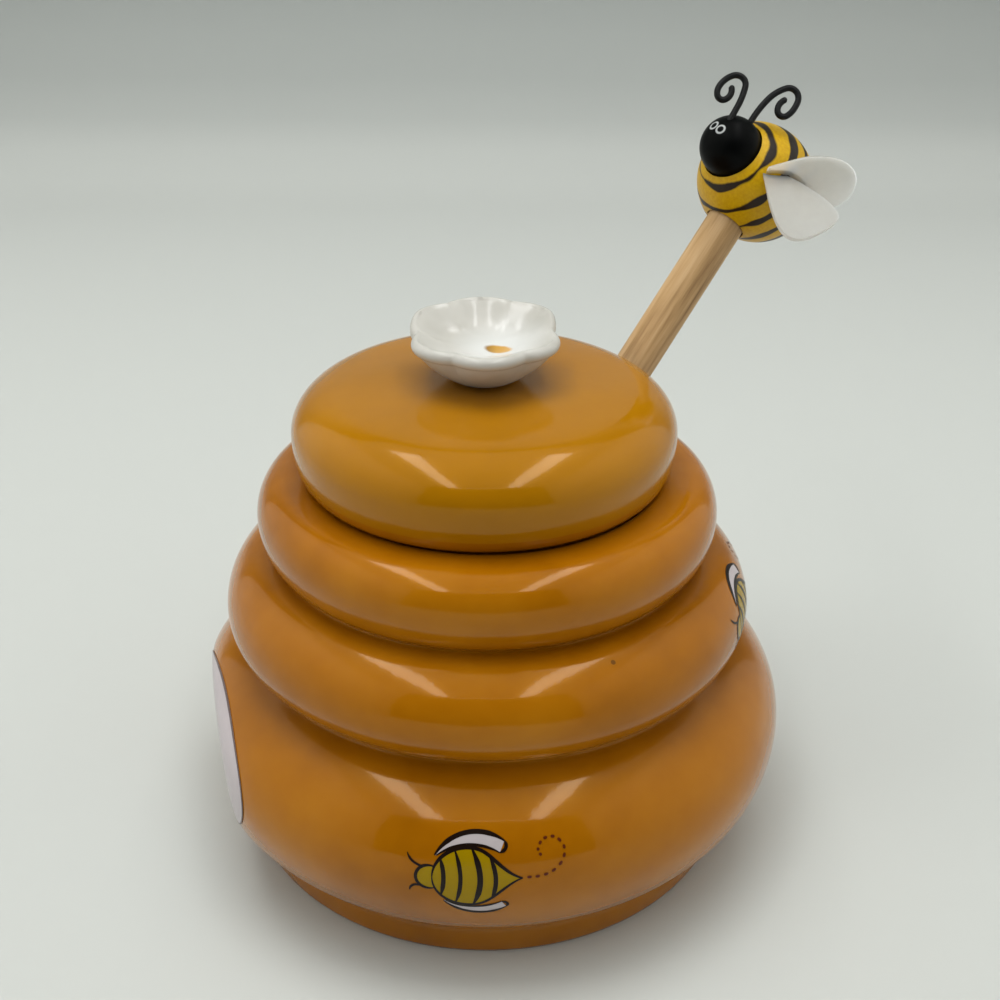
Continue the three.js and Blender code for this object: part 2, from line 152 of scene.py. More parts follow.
# Dipper and bee.
ROD_AZIMUTH = math.radians(38.2)
ROD_LEAN = math.radians(43)
ROD_RADIUS = 3.8
HEAD_LENGTH = 34.0
HEAD_RADIUS = 11.0
HEAD_TIP = 5.5
HEAD_NECK = 6.5
HEAD_CORE = 6.0
HEAD_RIDGES = 6
HEAD_GROOVE_SHARE = 0.48
HEAD_CORNER_SHARE = 0.14
SOCKET_DEPTH = 12.0
ROD_EASE = 0.6
GRAIN_STRETCH = 0.06
BEE_DISTANCE = 144.6
BEE_HOLE = 8.0
BEE_TILT = math.radians(88.5)
BEE_RADIUS = 11.1
BEE_TAIL = 12.6
BEE_HOLE_END = BEE_DISTANCE - BEE_RADIUS + BEE_HOLE
BEE_MIDDLE = -1.0
COLLAR_REACH = 9.4
COLLAR_LIP = 1.1
BEAD_RADIUS = 5.8
BEAD_REACH = 10.4

# Painted rings: middle along the body and half width. Eyes: the ways they look from the bead.
STRIPES = [(8.0, 0.48), (4.1, 0.65), (0.2, 0.75), (-4.3, 0.8), (-8.4, 0.75)]
EYES = [(0.0, -0.149, 0.989), (0.084, 0.207, 0.975)]
EYE_RADIUS = 0.8
EYE_LINE = 0.24

# Wings, as leaves that start on the body: how long and wide they are, the place of the root,
# the way the leaf points, the way its upper face looks, and how its sides swell.
WINGS = {
    "bee_wing_left": {
        "length": 14.8, "width": 13.3,
        "root": (-0.14, -0.815, 0.562), "tip": (-0.318, -0.865, -0.45),
        "face": (0.343, -0.783, 0.519), "flanks": (0.68, 1.26, 1.36)},
    "bee_wing_right": {
        "length": 16.9, "width": 12.0, "root": (-0.03, -0.845, 0.534), "tip": (0.42, -0.37, -0.83),
        "face": (-0.63, -0.68, 0.37), "flanks": (0.43, 1.2, 1.11)},
}
WING_ROOT_WIDTH = 1.2
WING_ROOT_DEPTH = 2.0
WING_CUP = 1.1
WING_EDGE = 0.42
WING_ROOT_SHARE = 0.4
WING_TIP_SHARE = 0.98

# Antennae: the wire's heading at shares of its length, walked in one plane.
WIRE_STEPS = 150
WIRE_TIP_SHARE = 0.15
WIRE_HOLE = 2.2
CURL_UP = (0.83, 0.37, 0.41)
CURL_ACROSS = (0.55, -0.62, -0.56)
ANTENNAE = {
    "antenna_left": {
        "length": 22.4, "root": (0.57, -0.1, 0.81),
        "shares": (0, 0.2, 0.38, 0.49, 0.55, 0.7, 0.77, 0.86, 1),
        "headings": (30, 29, 14, -68, -108, -149, -187, -293, -385)},
    "antenna_right": {
        "length": 24.5, "root": (0.95, -0.35, 0.22),
        "shares": (0, 0.13, 0.31, 0.47, 0.58, 0.64, 0.71, 0.78, 0.88, 1),
        "headings": (33, 33, 45, 73, 160, 201, 216, 241, 364, 440)},
}


# Shared helpers.


def linear(code):
    """Linear colour from an sRGB hex value."""
    out = []
    for i in (0, 2, 4):
        c = int(code[i:i + 2], 16) / 255
        out.append(c / 12.92 if c <= 0.04045 else ((c + 0.055) / 1.055) ** 2.4)
    return (*out, 1.0)


def feed(tree, node, inputs):
    """Sets a node's inputs, or links them where the value is another node's output."""
    for socket, value in inputs.items():
        if isinstance(value, bpy.types.NodeSocket):
            tree.links.new(value, node.inputs[socket])
        else:
            node.inputs[socket].default_value = value


def add(tree, kind, inputs, **settings):
    """Adds a node with its settings and inputs."""
    node = tree.nodes.new(kind)
    for name, value in settings.items():
        setattr(node, name, value)
    feed(tree, node, inputs)
    return node


def new_material(name):
    """Material with an empty node tree but for its shader and output."""
    material = bpy.data.materials.new(name)
    material.use_nodes = True
    tree = material.node_tree
    tree.nodes.clear()
    shader = add(tree, "ShaderNodeBsdfPrincipled", {})
    add(tree, "ShaderNodeOutputMaterial", {"Surface": shader.outputs[0]})
    return material, tree, shader


def object_place(tree):
    """Object coordinates, in metres."""
    return add(tree, "ShaderNodeTexCoord", {}).outputs["Object"]


def noise(tree, place, size, detail=2.0, roughness=0.5, unit=MM):
    """Grey noise from 0 to 1 in patches of a size in millimetres, which are a unit long in its place."""
    inputs = {"Vector": place, "Scale": 1 / (size * unit), "Detail": detail, "Roughness": roughness}
    return add(tree, "ShaderNodeTexNoise", inputs).outputs["Fac"]


def ramp(tree, factor, stops):
    """Colour ramp from (place, hex) or (place, linear colour) stops."""
    node = add(tree, "ShaderNodeValToRGB", {"Fac": factor})
    elements = node.color_ramp.elements
    while len(elements) < len(stops):
        elements.new(0.5)
    for element, (place, code) in zip(elements, stops):
        element.position = place
        element.color = linear(code) if isinstance(code, str) else (*code, 1.0)
    return node.outputs[0]


def remap(tree, value, source, target=(0.0, 1.0)):
    """Value moved from one range to another and kept within it."""
    inputs = {"Value": value, 1: source[0], 2: source[1], 3: target[0], 4: target[1]}
    return add(tree, "ShaderNodeMapRange", inputs).outputs[0]


def mix(tree, factor, first, second):
    """Mix of two colours."""
    return add(tree, "ShaderNodeMix", {0: factor, 6: first, 7: second}, data_type="RGBA").outputs[2]


def calc(tree, operation, a, b=0.0, c=0.0):
    """Result of a sum on values."""
    return add(tree, "ShaderNodeMath", {0: a, 1: b, 2: c}, operation=operation).outputs[0]


def scaled(tree, vector, factors):
    """Vector multiplied by a factor for each axis."""
    return add(tree, "ShaderNodeVectorMath", {0: vector, 1: factors}, operation="MULTIPLY").outputs[0]


def reach(tree, vector, centre=(0.0, 0.0, 0.0)):
    """Distance of a vector from a centre."""
    return add(tree, "ShaderNodeVectorMath", {0: vector, 1: centre}, operation="DISTANCE").outputs["Value"]


def axis(tree, vector, index):
    """One coordinate of a vector."""
    return add(tree, "ShaderNodeSeparateXYZ", {"Vector": vector}).outputs[index]


def bump(tree, height, strength, distance, inputs=None):
    """Normal bent by a height, with a distance in millimetres."""
    inputs = {"Height": height, "Strength": strength, "Distance": distance * MM, **(inputs or {})}
    return add(tree, "ShaderNodeBump", inputs).outputs[0]


def deselect():
    """Goes to object mode with nothing selected."""
    if bpy.context.object and bpy.context.object.mode != "OBJECT":
        bpy.ops.object.mode_set(mode="OBJECT")
    bpy.ops.object.select_all(action="DESELECT")


def take(obj):
    """Selects one object alone and makes it active."""
    deselect()
    obj.select_set(True)
    bpy.context.view_layer.objects.active = obj


def bake_place(obj):
    """Puts the piece's place into its mesh."""
    take(obj)
    bpy.ops.object.transform_apply(location=True, rotation=True, scale=True)


def turned(name, profile, steps):
    """Spins a profile of (radius, height) points in millimetres about Z into a closed piece."""
    deselect()
    bpy.ops.mesh.primitive_plane_add(size=MM, location=(0, 0, 0))
    piece = bpy.context.active_object
    piece.name = name
    bpy.ops.object.mode_set(mode="EDIT")
    bpy.ops.mesh.select_all(action="SELECT")
    bpy.ops.mesh.merge(type="CENTER")
    here = (0.0, 0.0)
    for i, (r, z) in enumerate(profile):
        step = {"value": ((r - here[0]) * MM, 0, (z - here[1]) * MM)}
        if i == 0:
            bpy.ops.transform.translate(**step)
        else:
            bpy.ops.mesh.extrude_vertices_move(TRANSFORM_OT_translate=step)
        here = (r, z)
    bpy.ops.mesh.select_all(action="SELECT")
    bpy.ops.mesh.spin(steps=steps, angle=2 * math.pi, center=(0, 0, 0), axis=(0, 0, 1))
    bpy.ops.mesh.select_all(action="SELECT")
    bpy.ops.mesh.remove_doubles(threshold=TOLERANCE * MM)
    bpy.ops.mesh.normals_make_consistent(inside=False)
    bpy.ops.object.mode_set(mode="OBJECT")
    return piece


def sheet(name, columns, rows, place):
    """A grid bent so that its point (u, v), each from 0 to 1, goes where place says, in millimetres."""
    deselect()
    bpy.ops.mesh.primitive_grid_add(x_subdivisions=columns, y_subdivisions=rows, size=2 * MM)
    piece = bpy.context.active_object
    piece.name = name
    put_corners(piece, [place((x + 1) / 2, (y + 1) / 2) for x, y, _ in corners(piece)])
    return piece


def joined(name, pieces):
    """Joins the pieces into one object."""
    take(pieces[0])
    for piece in pieces[1:]:
        piece.select_set(True)
    bpy.ops.object.join()
    pieces[0].name = name
    return pieces[0]


def smooth(piece, angle):
    """Shades the piece smooth up to an angle in degrees between its faces."""
    take(piece)
    bpy.ops.object.shade_smooth_by_angle(angle=math.radians(angle))


def cut(piece, cutter):
    """Takes the cutter out of the piece and deletes it."""
    take(piece)
    modifier = piece.modifiers.new("cut", "BOOLEAN")
    modifier.operation = "DIFFERENCE"
    modifier.solver = "EXACT"
    modifier.object = cutter
    bpy.ops.object.modifier_apply(modifier=modifier.name)
    bpy.data.objects.remove(cutter, do_unlink=True)


def corners(piece):
    """The piece's points as an array, in millimetres."""
    flat = np.empty(len(piece.data.vertices) * 3)
    piece.data.vertices.foreach_get("co", flat)
    return flat.reshape(-1, 3) / MM


def put_corners(piece, points):
    """Moves the piece's points to places given in millimetres."""
    piece.data.vertices.foreach_set("co", (np.asarray(points) * MM).ravel())
    piece.data.update()


def dress(piece, material, body, node=None):
    """Gives the piece its material and its body, and hides the CAD node or nodes it stands for."""
    piece.data.materials.clear()
    piece.data.materials.append(material)
    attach(piece, body)
    if node:
        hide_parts(*([node] if isinstance(node, str) else node))


def curve_points(a, b, c, d, steps):
    """Points on a Bezier curve in the plane of (radius, height)."""
    flat = [Vector((*p, 0.0)) for p in (a, b, c, d)]
    return [(p.x, p.y) for p in interpolate_bezier(*flat, steps)]


# Pot.


def coil_arc(coil, start, end, steps):
    """Points round the outside of a coil between two angles, from its widest line."""
    points = []
    for i in range(steps + 1):
        angle = start + (end - start) * i / steps
        height = coil["drop"] if angle < 0 else coil["rise"]
        points.append((coil["radius"] - coil["bulge"] * (1 - math.cos(angle)),
                       coil["middle"] + height * math.sin(angle)))
    return points


def toward(a, b, length):
    """The vector from a to b, set to a length."""
    d = Vector((b[0] - a[0], b[1] - a[1]))
    return d.normalized() * length


def groove(before, after, softness=GROOVE_SOFTNESS):
    """Soft valley between one run of points and the next."""
    leave = toward(before[-2], before[-1], softness)
    arrive = toward(after[1], after[0], softness)
    start, end = Vector(before[-1]), Vector(after[0])
    return curve_points(start, start + leave, end + arrive, end, GROOVE_STEPS)[1:-1]


def offset(points, distance):
    """Points moved to the left of their run by a distance."""
    moved = []
    for i, p in enumerate(points):
        a, b = points[max(i - 1, 0)], points[min(i + 1, len(points) - 1)]
        d = toward(a, b, distance)
        moved.append((p[0] - d.y, p[1] + d.x))
    return moved


def pot_coils():
    """Outside of the coils above the widest line of the belly."""
    upper = coil_arc(BELLY, 0, BELLY_TOP, ARC_STEPS)
    middle = coil_arc(WAIST, *WAIST_ENDS, ARC_STEPS * 2)
    top = coil_arc(SHOULDER, SHOULDER_BOTTOM, math.pi / 2, ARC_STEPS * 2)
    return [*upper, *groove(upper, middle), *middle, *groove(middle, top), *top]


def pot_profile():
    """Closed profile of the pot: foot, coils, rolled lip, and the inside that follows the coils."""
    tuck = -math.acos((FOOT_RADIUS - BELLY["radius"] + BELLY["bulge"]) / BELLY["bulge"])
    lower = coil_arc(BELLY, tuck + FOOT_CREASE, 0, ARC_STEPS)
    foot = [(FOOT_RADIUS, FOOT_EASE), (FOOT_RADIUS, FOOT_WALL)]
    ease = FOOT_EASE * EASE_SHARE
    coils = pot_coils()
    nose = (MOUTH_RADIUS + WALL / 2, RIM_TOP - WALL / 2)
    lip = [(nose[0] + WALL / 2 * math.cos(a), nose[1] + WALL / 2 * math.sin(a))
           for a in np.linspace(math.pi / 2, math.pi * 1.5, ARC_STEPS)]
    wall_line = offset(coils, WALL)[::3]
    side = (BELLY["radius"] - WALL, BELLY["middle"])
    corner = curve_points(
        side, (side[0], side[1] - (side[1] - FLOOR) * CORNER_HANDLES[0]),
        (FLOOR_FLAT + (side[0] - FLOOR_FLAT) * CORNER_HANDLES[1], FLOOR), (FLOOR_FLAT, FLOOR), ARC_STEPS)
    return [
        (0, 0), (FOOT_RADIUS - FOOT_EASE, 0), (FOOT_RADIUS - ease, ease), *foot,
        *groove(foot, lower, FOOT_SOFTNESS), *lower[:-1], *coils, *lip,
        *reversed(wall_line[1:]), *corner, (0, FLOOR),
    ]


def label_normal():
    """The way the label looks: out from the belly and a little down."""
    flat = math.cos(LABEL_LEAN)
    return np.array([flat * math.cos(LABEL_AZIMUTH), flat * math.sin(LABEL_AZIMUTH), -math.sin(LABEL_LEAN)])


def flatten_label(points):
    """Presses the wall flat, inside and outside, where the label sits, with a soft edge."""
    toward_label = label_normal()
    outer = np.interp(points[:, 2], OUTLINE[:, 1], OUTLINE[:, 0])
    inside = np.hypot(points[:, 0], points[:, 1]) < outer - WALL / 2
    limit = BELLY["radius"] - LABEL_DEPTH - np.where(inside, WALL, 0)
    out = (points - np.array([0, 0, BELLY["middle"]])) @ toward_label
    over = out - limit
    pressed = limit - LABEL_SOFTNESS * np.logaddexp(0, -over / LABEL_SOFTNESS)
    shift = np.where(over > -6 * LABEL_SOFTNESS, pressed - out, 0)
    return points + shift[:, None] * toward_label


# Outside of the pot from low on the belly to the rim, and how far each point is along it.
OUTLINE = np.array(sorted(pot_coils() + coil_arc(BELLY, -BELLY_LOW, 0, ARC_STEPS), key=lambda p: p[1]))
CLIMB = np.concatenate([[0], np.cumsum(np.hypot(*np.diff(OUTLINE, axis=0).T))])
SLOPE_STEP = 0.3


def surface(azimuth, height, up, proud):
    """Point just proud of the pot's outside, up along its surface from a height, in millimetres."""
    run = np.interp(height, OUTLINE[:, 1], CLIMB) + up
    r, z = (float(np.interp(run, CLIMB, OUTLINE[:, i])) for i in (0, 1))
    ahead = [float(np.interp(run + SLOPE_STEP, CLIMB, OUTLINE[:, i])) for i in (0, 1)]
    climb = toward((r, z), ahead, proud)
    return ((r + climb.y) * math.cos(azimuth), (r + climb.y) * math.sin(azimuth), z - climb.x)


# Materials.


# Real sizes of the patterns, in millimetres. The mottle is coarser than the real one, so that it shows.
CLOUD_SIZE = 31.25
SWELL_SIZE = 18.182
MOTTLE_SIZE = 1.4286
POOL_SIZE = 6.25
BRUSH_SIZE = 0.625
GRAIN_WIDTH = 1.1111
BAND_WIDTH = 3.8462
SPECK_SPACING = 10.526
SPECK_RADIUS = 0.4737
SPECK_SHARE = 0.2

# Painted light in the flower's cup: it is whitest this far from its middle, and blends out to its edge.
PAINTED_LIGHT_CLEAR = 3
PAINTED_LIGHT_EDGE = 9

# Painted rings wander up and down, have ragged edges, and swell and thin by these factors.
RING_WAVE_SIZE = 6.25
RING_WAVE = 1.4
RING_RAG = 0.12
RING_SWELL_SIZE = 7.6923
RING_SWELL = (0.2, 1.7)
RING_EDGE = (0.15, -0.1)


def amber_glaze():
    """Stoneware under a shiny amber glaze.

    The runny glaze gives the deep honey brown with lighter and darker clouds a few centimetres
    wide. High on the lid it is mixed halfway to a yellower tint. The slow swell of its surface
    bends the reflections, and iron in the clay shows as a few small dark specks.
    """
    look = bpy.context.scene.honeyjar_glaze
    material, tree, shader = new_material("amber_glaze_stoneware")
    place = object_place(tree)
    cloud = noise(tree, place, CLOUD_SIZE, detail=4, roughness=0.6)
    tone = ramp(tree, cloud, [(0.32, look.deep), (0.5, look.amber), (0.7, look.bright)])
    # High on the lid the colour is mixed halfway to a yellower tint.
    on_lid = calc(tree, "GREATER_THAN", axis(tree, place, 2), (LID_SEAT + LID_DROP / 3) * MM)
    tone = mix(tree, calc(tree, "MULTIPLY", on_lid, 0.5), tone, (*look.lid, 1))
    cell = add(tree, "ShaderNodeTexVoronoi", {"Vector": place, "Scale": 1 / (SPECK_SPACING * MM)})
    chance = add(tree, "ShaderNodeSeparateColor", {"Color": cell.outputs["Color"]}).outputs[0]
    size = remap(tree, chance, (1 - SPECK_SHARE, 1.0), (0.0, SPECK_RADIUS / SPECK_SPACING))
    iron = calc(tree, "LESS_THAN", cell.outputs["Distance"], size)
    tone = mix(tree, calc(tree, "MULTIPLY", iron, 0.75), tone, linear("4a2a06"))
    swell = bump(tree, noise(tree, place, SWELL_SIZE, detail=1), 0.5, 0.8)
    peel = bump(tree, noise(tree, place, MOTTLE_SIZE), 0.05, 0.3, {"Normal": swell})
    feed(tree, shader, {
        "Base Color": tone, "Roughness": 0.16, "IOR": 1.43, "Specular Tint": linear("ffcc78"),
        "Coat Weight": 0.28, "Coat Roughness": look.roughness, "Normal": peel, "Coat Normal": peel})
    return material


def white_glaze():
    """White glaze on the flower, with light painted whiter into the middle of its cup, and one brushed spot
    of ochre with painted shade darker at one end.
    """
    material, tree, shader = new_material("white_glaze_with_painted_light")
    place = object_place(tree)
    centred = add(tree, "ShaderNodeMapping", {
        "Vector": place, "Location": tuple(-v * MM for v in SPOT_CENTRE)}).outputs[0]
    turned_place = add(tree, "ShaderNodeVectorRotate", {"Vector": centred, "Angle": SPOT_TURN},
                       rotation_type="Z_AXIS").outputs[0]
    across = scaled(tree, turned_place, (1 / (SPOT_LENGTH * MM), 1 / (SPOT_WIDTH * MM), 0))
    edge = calc(tree, "MULTIPLY_ADD", noise(tree, place, MOTTLE_SIZE), 0.3, reach(tree, across))
    # Painted shade: the ochre spot runs from dark at one end to light at the other.
    along = remap(tree, axis(tree, centred, 0), (-SPOT_LENGTH * MM, SPOT_LENGTH * MM))
    ochre = ramp(tree, along, [(0.1, "8c6414"), (0.45, "bf9036"), (0.9, "cf9f52")])
    pool = noise(tree, place, POOL_SIZE)
    white = ramp(tree, pool, [(0.35, "b6b4ac"), (0.65, "c0beb7")])
    out = reach(tree, scaled(tree, centred, (1, 1, 0)))
    # Painted light: the middle of the cup is mixed towards a whiter colour.
    white = mix(tree, remap(tree, out, (PAINTED_LIGHT_EDGE * MM, PAINTED_LIGHT_CLEAR * MM)), white, linear("d2d3d0"))
    feed(tree, shader, {
        "Base Color": mix(tree, remap(tree, edge, (1.3, 1.0)), white, ochre), "Roughness": 0.18,
        "IOR": 1.5, "Normal": bump(tree, pool, 0.3, 0.4)})
    return material


def beech():
    """Bare sanded beech: warm pale wood with fine long grain and darker streaks."""
    material, tree, shader = new_material("sanded_beech")
    upright = add(tree, "ShaderNodeMapping", {
        "Vector": object_place(tree), "Rotation": DIPPER.to_3x3().inverted().to_euler()}).outputs[0]
    place = scaled(tree, upright, (1, 1, GRAIN_STRETCH))
    grain = noise(tree, place, GRAIN_WIDTH, detail=5, roughness=0.6)
    wide = noise(tree, place, BAND_WIDTH)
    both = calc(tree, "MULTIPLY_ADD", wide, 0.5, calc(tree, "MULTIPLY", grain, 0.5))
    tone = ramp(tree, both, [(0.36, "7d5d36"), (0.5, "b08e60"), (0.64, "c4a479")])
    feed(tree, shader, {"Base Color": tone, "Roughness": 0.62, "Normal": bump(tree, grain, 0.25, 0.2)})
    return material


def bee_place(tree):
    """Object coordinates in the bee's own frame, in millimetres."""
    inverse = BEE.inverted()
    place = add(tree, "ShaderNodeMapping", {
        "Vector": object_place(tree), "Rotation": inverse.to_euler(), "Location": inverse.translation * MM})
    return scaled(tree, place.outputs[0], (1 / MM, 1 / MM, 1 / MM))


def striped_paint():
    """Golden yellow craft paint with dark brown brushed rings, slightly uneven at their edges."""
    material, tree, shader = new_material("yellow_craft_paint")
    place = bee_place(tree)
    fine = noise(tree, place, BRUSH_SIZE, detail=3, unit=1)
    wave = noise(tree, place, RING_WAVE_SIZE, detail=1, unit=1)
    height = calc(tree, "MULTIPLY_ADD", wave, RING_WAVE, axis(tree, place, 2))
    height = calc(tree, "MULTIPLY_ADD", fine, RING_RAG, height)
    height = calc(tree, "SUBTRACT", height, (RING_WAVE + RING_RAG) / 2)
    swell = remap(tree, noise(tree, place, RING_SWELL_SIZE, detail=1, unit=1), (0.3, 0.7), RING_SWELL)
    dark = 0.0
    for middle, half in STRIPES:
        gap = calc(tree, "ABSOLUTE", calc(tree, "SUBTRACT", height, middle))
        inset = calc(tree, "SUBTRACT", gap, calc(tree, "MULTIPLY", swell, half))
        dark = calc(tree, "MAXIMUM", dark, remap(tree, inset, RING_EDGE))
    yellow = ramp(tree, fine, [(0.3, "be9200"), (0.7, "cba304")])
    feed(tree, shader, {
        "Base Color": mix(tree, dark, yellow, linear("20160c")), "Roughness": 0.4,
        "Specular IOR Level": 0.3, "Normal": bump(tree, fine, 0.15, 0.2)})
    return material


def black_paint():
    """Satin black craft paint with two thin white rings brushed on for eyes."""
    material, tree, shader = new_material("black_craft_paint")
    place = bee_place(tree)
    eyes = 0.0
    for direction in EYES:
        centre = Vector(direction).normalized() * BEAD_RADIUS + Vector((0, 0, BEAD_REACH))
        gap = calc(tree, "ABSOLUTE", calc(tree, "SUBTRACT", reach(tree, place, centre), EYE_RADIUS))
        eyes = calc(tree, "MAXIMUM", eyes, remap(tree, gap, (EYE_LINE, EYE_LINE / 2)))
    feed(tree, shader, {
        "Base Color": mix(tree, eyes, linear("040505"), linear("a6a9a8")), "Roughness": 0.38,
        "Specular IOR Level": 0.06})
    return material


def plain(name, code, roughness, inputs):
    """One colour with a mottle, as moulded, coated and printed surfaces have, coarser than the real one."""
    material, tree, shader = new_material(name)
    base = linear(code)
    dim = (*(c * 0.9 for c in base[:3]), 1.0)
    fine = noise(tree, object_place(tree), MOTTLE_SIZE, detail=3)
    feed(tree, shader, {"Base Color": mix(tree, fine, dim, base), "Roughness": roughness, **inputs})
    return material


# Finishes of one colour: name, colour, roughness and what else the surface does.
PLAIN = {
    # Matt moulded resin, a little of the light comes through.
    "wing": ("white_resin", "a0a29e", 0.5, {
        "Subsurface Weight": 1.0, "Subsurface Radius": (1, 1, 1), "Subsurface Scale": 0.012}),
    # Dull black coating.
    "wire": ("black_coated_wire", "0b0c0d", 0.4, {"Specular IOR Level": 0.25}),
    # Prints on the glaze, less shiny than it: pale pinkish white, olive yellow, and three inks.
    "label": ("white_transfer_print", "b9b0b2", 0.3, {}),
    "mustard": ("mustard_transfer_print", "987c00", 0.2, {"Specular IOR Level": 0.2}),
    "ink": ("black_transfer_print", "180c06", 0.3, {"Specular IOR Level": 0.2}),
    "edge": ("grey_transfer_print", "6a5a58", 0.3, {"Specular IOR Level": 0.2}),
    "sepia": ("brown_transfer_print", "5a2408", 0.3, {"Specular IOR Level": 0.2}),
}


def paper():
    """Matt white paper, with shade painted into its colour: it darkens towards the wall colour as it climbs
    at the back.
    """
    look = bpy.context.scene.honeyjar_stage
    material, tree, shader = new_material("matt_white_paper_painted_shade")
    # Painted shade: the paper's colour goes from the floor colour to the darker wall colour as it climbs.
    climb = remap(tree, axis(tree, object_place(tree), 2), (0.0, PAINTED_SHADE_HEIGHT * MM))
    left = ramp(tree, climb, [(share, (tone, tone, tone)) for share, tone in PAINTED_SHADE_SHARES])
    feed(tree, shader, {
        "Base Color": mix(tree, left, (*look.wall, 1), (*look.floor, 1)), "Roughness": 0.95,
        "Specular IOR Level": 0.2})
    return material


def cloth(name, glow):
    """White tent cloth lit from behind: an even, soft glow."""
    material, tree, shader = new_material(name + "_cloth")
    feed(tree, shader, {
        "Base Color": linear("d8d8d4"), "Roughness": 0.95, "Emission Color": linear("f6f7f8"),
        "Emission Strength": glow})
    return material


# Dipper's and bee's frames.


def head_radius_at(share):
    """Radius of the dipper's head at a share of its length."""
    low = HEAD_TIP + (HEAD_NECK - HEAD_TIP) * share
    return low + (HEAD_RADIUS - low) * math.sqrt(max(0.0, math.sin(math.pi * share)))


def head_profile():
    """Profile of the dipper's head, with its grooves turned in between the ridges."""
    pitch = HEAD_LENGTH / (HEAD_RIDGES + 1)
    half = pitch * HEAD_GROOVE_SHARE / 2
    corner = pitch * HEAD_CORNER_SHARE
    points = [(0, 0), (HEAD_TIP, 0)]
    for ridge in range(1, HEAD_RIDGES + 1):
        middle = pitch * ridge
        floor = min(HEAD_CORE, head_radius_at(middle / HEAD_LENGTH))
        edges = (middle - half - corner, middle - half, middle + half, middle + half + corner)
        ridges = [head_radius_at(edge / HEAD_LENGTH) for edge in (edges[0], edges[-1])]
        points += zip((ridges[0], floor, floor, ridges[1]), edges)
    return points + [(HEAD_NECK, HEAD_LENGTH), (0, HEAD_LENGTH)]


def dipper_matrix():
    """The dipper leans on the rim of the mouth and its head rests on the floor."""
    sine, cosine = math.sin(ROD_LEAN), math.cos(ROD_LEAN)
    lowest = min(z * cosine - r * sine for r, z in head_profile())
    height = FLOOR + SEAT_GAP - lowest
    nose_r, nose_z = MOUTH_RADIUS + WALL / 2, RIM_TOP - WALL / 2
    reach = nose_r - (WALL / 2 + ROD_RADIUS + SEAT_GAP) / cosine + (height - nose_z) * math.tan(ROD_LEAN)
    place = Vector((reach * math.cos(ROD_AZIMUTH), reach * math.sin(ROD_AZIMUTH), height))
    turn = Matrix.Rotation(ROD_AZIMUTH, 4, "Z") @ Matrix.Rotation(ROD_LEAN, 4, "Y")
    return Matrix.Translation(place) @ turn


DIPPER = dipper_matrix()
BEE = DIPPER @ Matrix.Translation((0, 0, BEE_DISTANCE)) @ Matrix.Rotation(-BEE_TILT, 4, "Y")


def placed(piece, matrix):
    """Moves a piece modelled in millimetres about Z to its frame, given in millimetres."""
    points = corners(piece)
    turn = np.array(matrix.to_3x3())
    put_corners(piece, points @ turn.T + np.array(matrix.translation))


# Sizes a user would change.


def colour(name, description, code):
    """Colour property with its default from an sRGB hex value."""
    return bpy.props.FloatVectorProperty(
        name=name, description=description, subtype="COLOR", size=3, default=linear(code)[:3])


def length(name, description, size):
    """Length property with its default from millimetres."""
    return bpy.props.FloatProperty(
        name=name, description=description, unit="LENGTH", default=size * MM, min=0)


class HoneyJarSizes(bpy.types.PropertyGroup):
    """Sizes that can change and leave every piece in its seat."""

    label_width: length("Label width", "Long way of the oval label", 45.4)
    label_height: length("Label height", "Short way of the oval label", 22.6)
    label_line: length("Label line", "Width of the grey line round the label", 0.28)
    wire: length("Wire", "Thickness of the antennae's wire", 1.2)
    wing: length("Wing", "Thickness of a wing in its middle", 1.0)


class HoneyJarGlaze(bpy.types.PropertyGroup):
    """Colours and shine of the amber glaze."""

    deep: colour("Deep", "Glaze where it runs thick", "8c5200")
    amber: colour("Amber", "Usual colour of the glaze", "9c5e02")
    bright: colour("Bright", "Glaze where it is thin", "a7690a")
    lid: colour("Lid", "Yellower tint of the glaze on the lid", "a27204")
    roughness: bpy.props.FloatProperty(
        name="Roughness", description="Roughness of the glaze's clear top", subtype="FACTOR", default=0.05,
        min=0, max=1)


class HoneyJarStage(bpy.types.PropertyGroup):
    """The light tent and the camera."""

    lens: bpy.props.FloatProperty(
        name="Lens", description="Focal length of the camera", unit="CAMERA", default=46.8)
    floor: colour("Floor", "Colour of the paper floor", "bfc2be")
    # Wall: painted shade, the darker colour the paper is given high up at the back.
    wall: colour("Wall", "Colour of the paper high up at the back", "9a9e9b")
    ceiling: bpy.props.FloatProperty(
        name="Ceiling", description="Brightness of the tent's ceiling", subtype="FACTOR", default=0.24,
        min=0)
    sides: bpy.props.FloatProperty(
        name="Sides", description="Brightness of the tent's sides", subtype="FACTOR", default=0.1, min=0)


# Operators.


class HONEYJAR_OT_pot(bpy.types.Operator):
    """Model the beehive pot"""

    bl_idname = "honeyjar.pot"
    bl_label = "Pot"

    def execute(self, context):
        pot = turned("glazed_pot", pot_profile(), TURN_STEPS)
        put_corners(pot, flatten_label(corners(pot)))
        smooth(pot, angle=50)
        dress(pot, MATERIALS["glaze"], "pot", "jar")
        return {"FINISHED"}


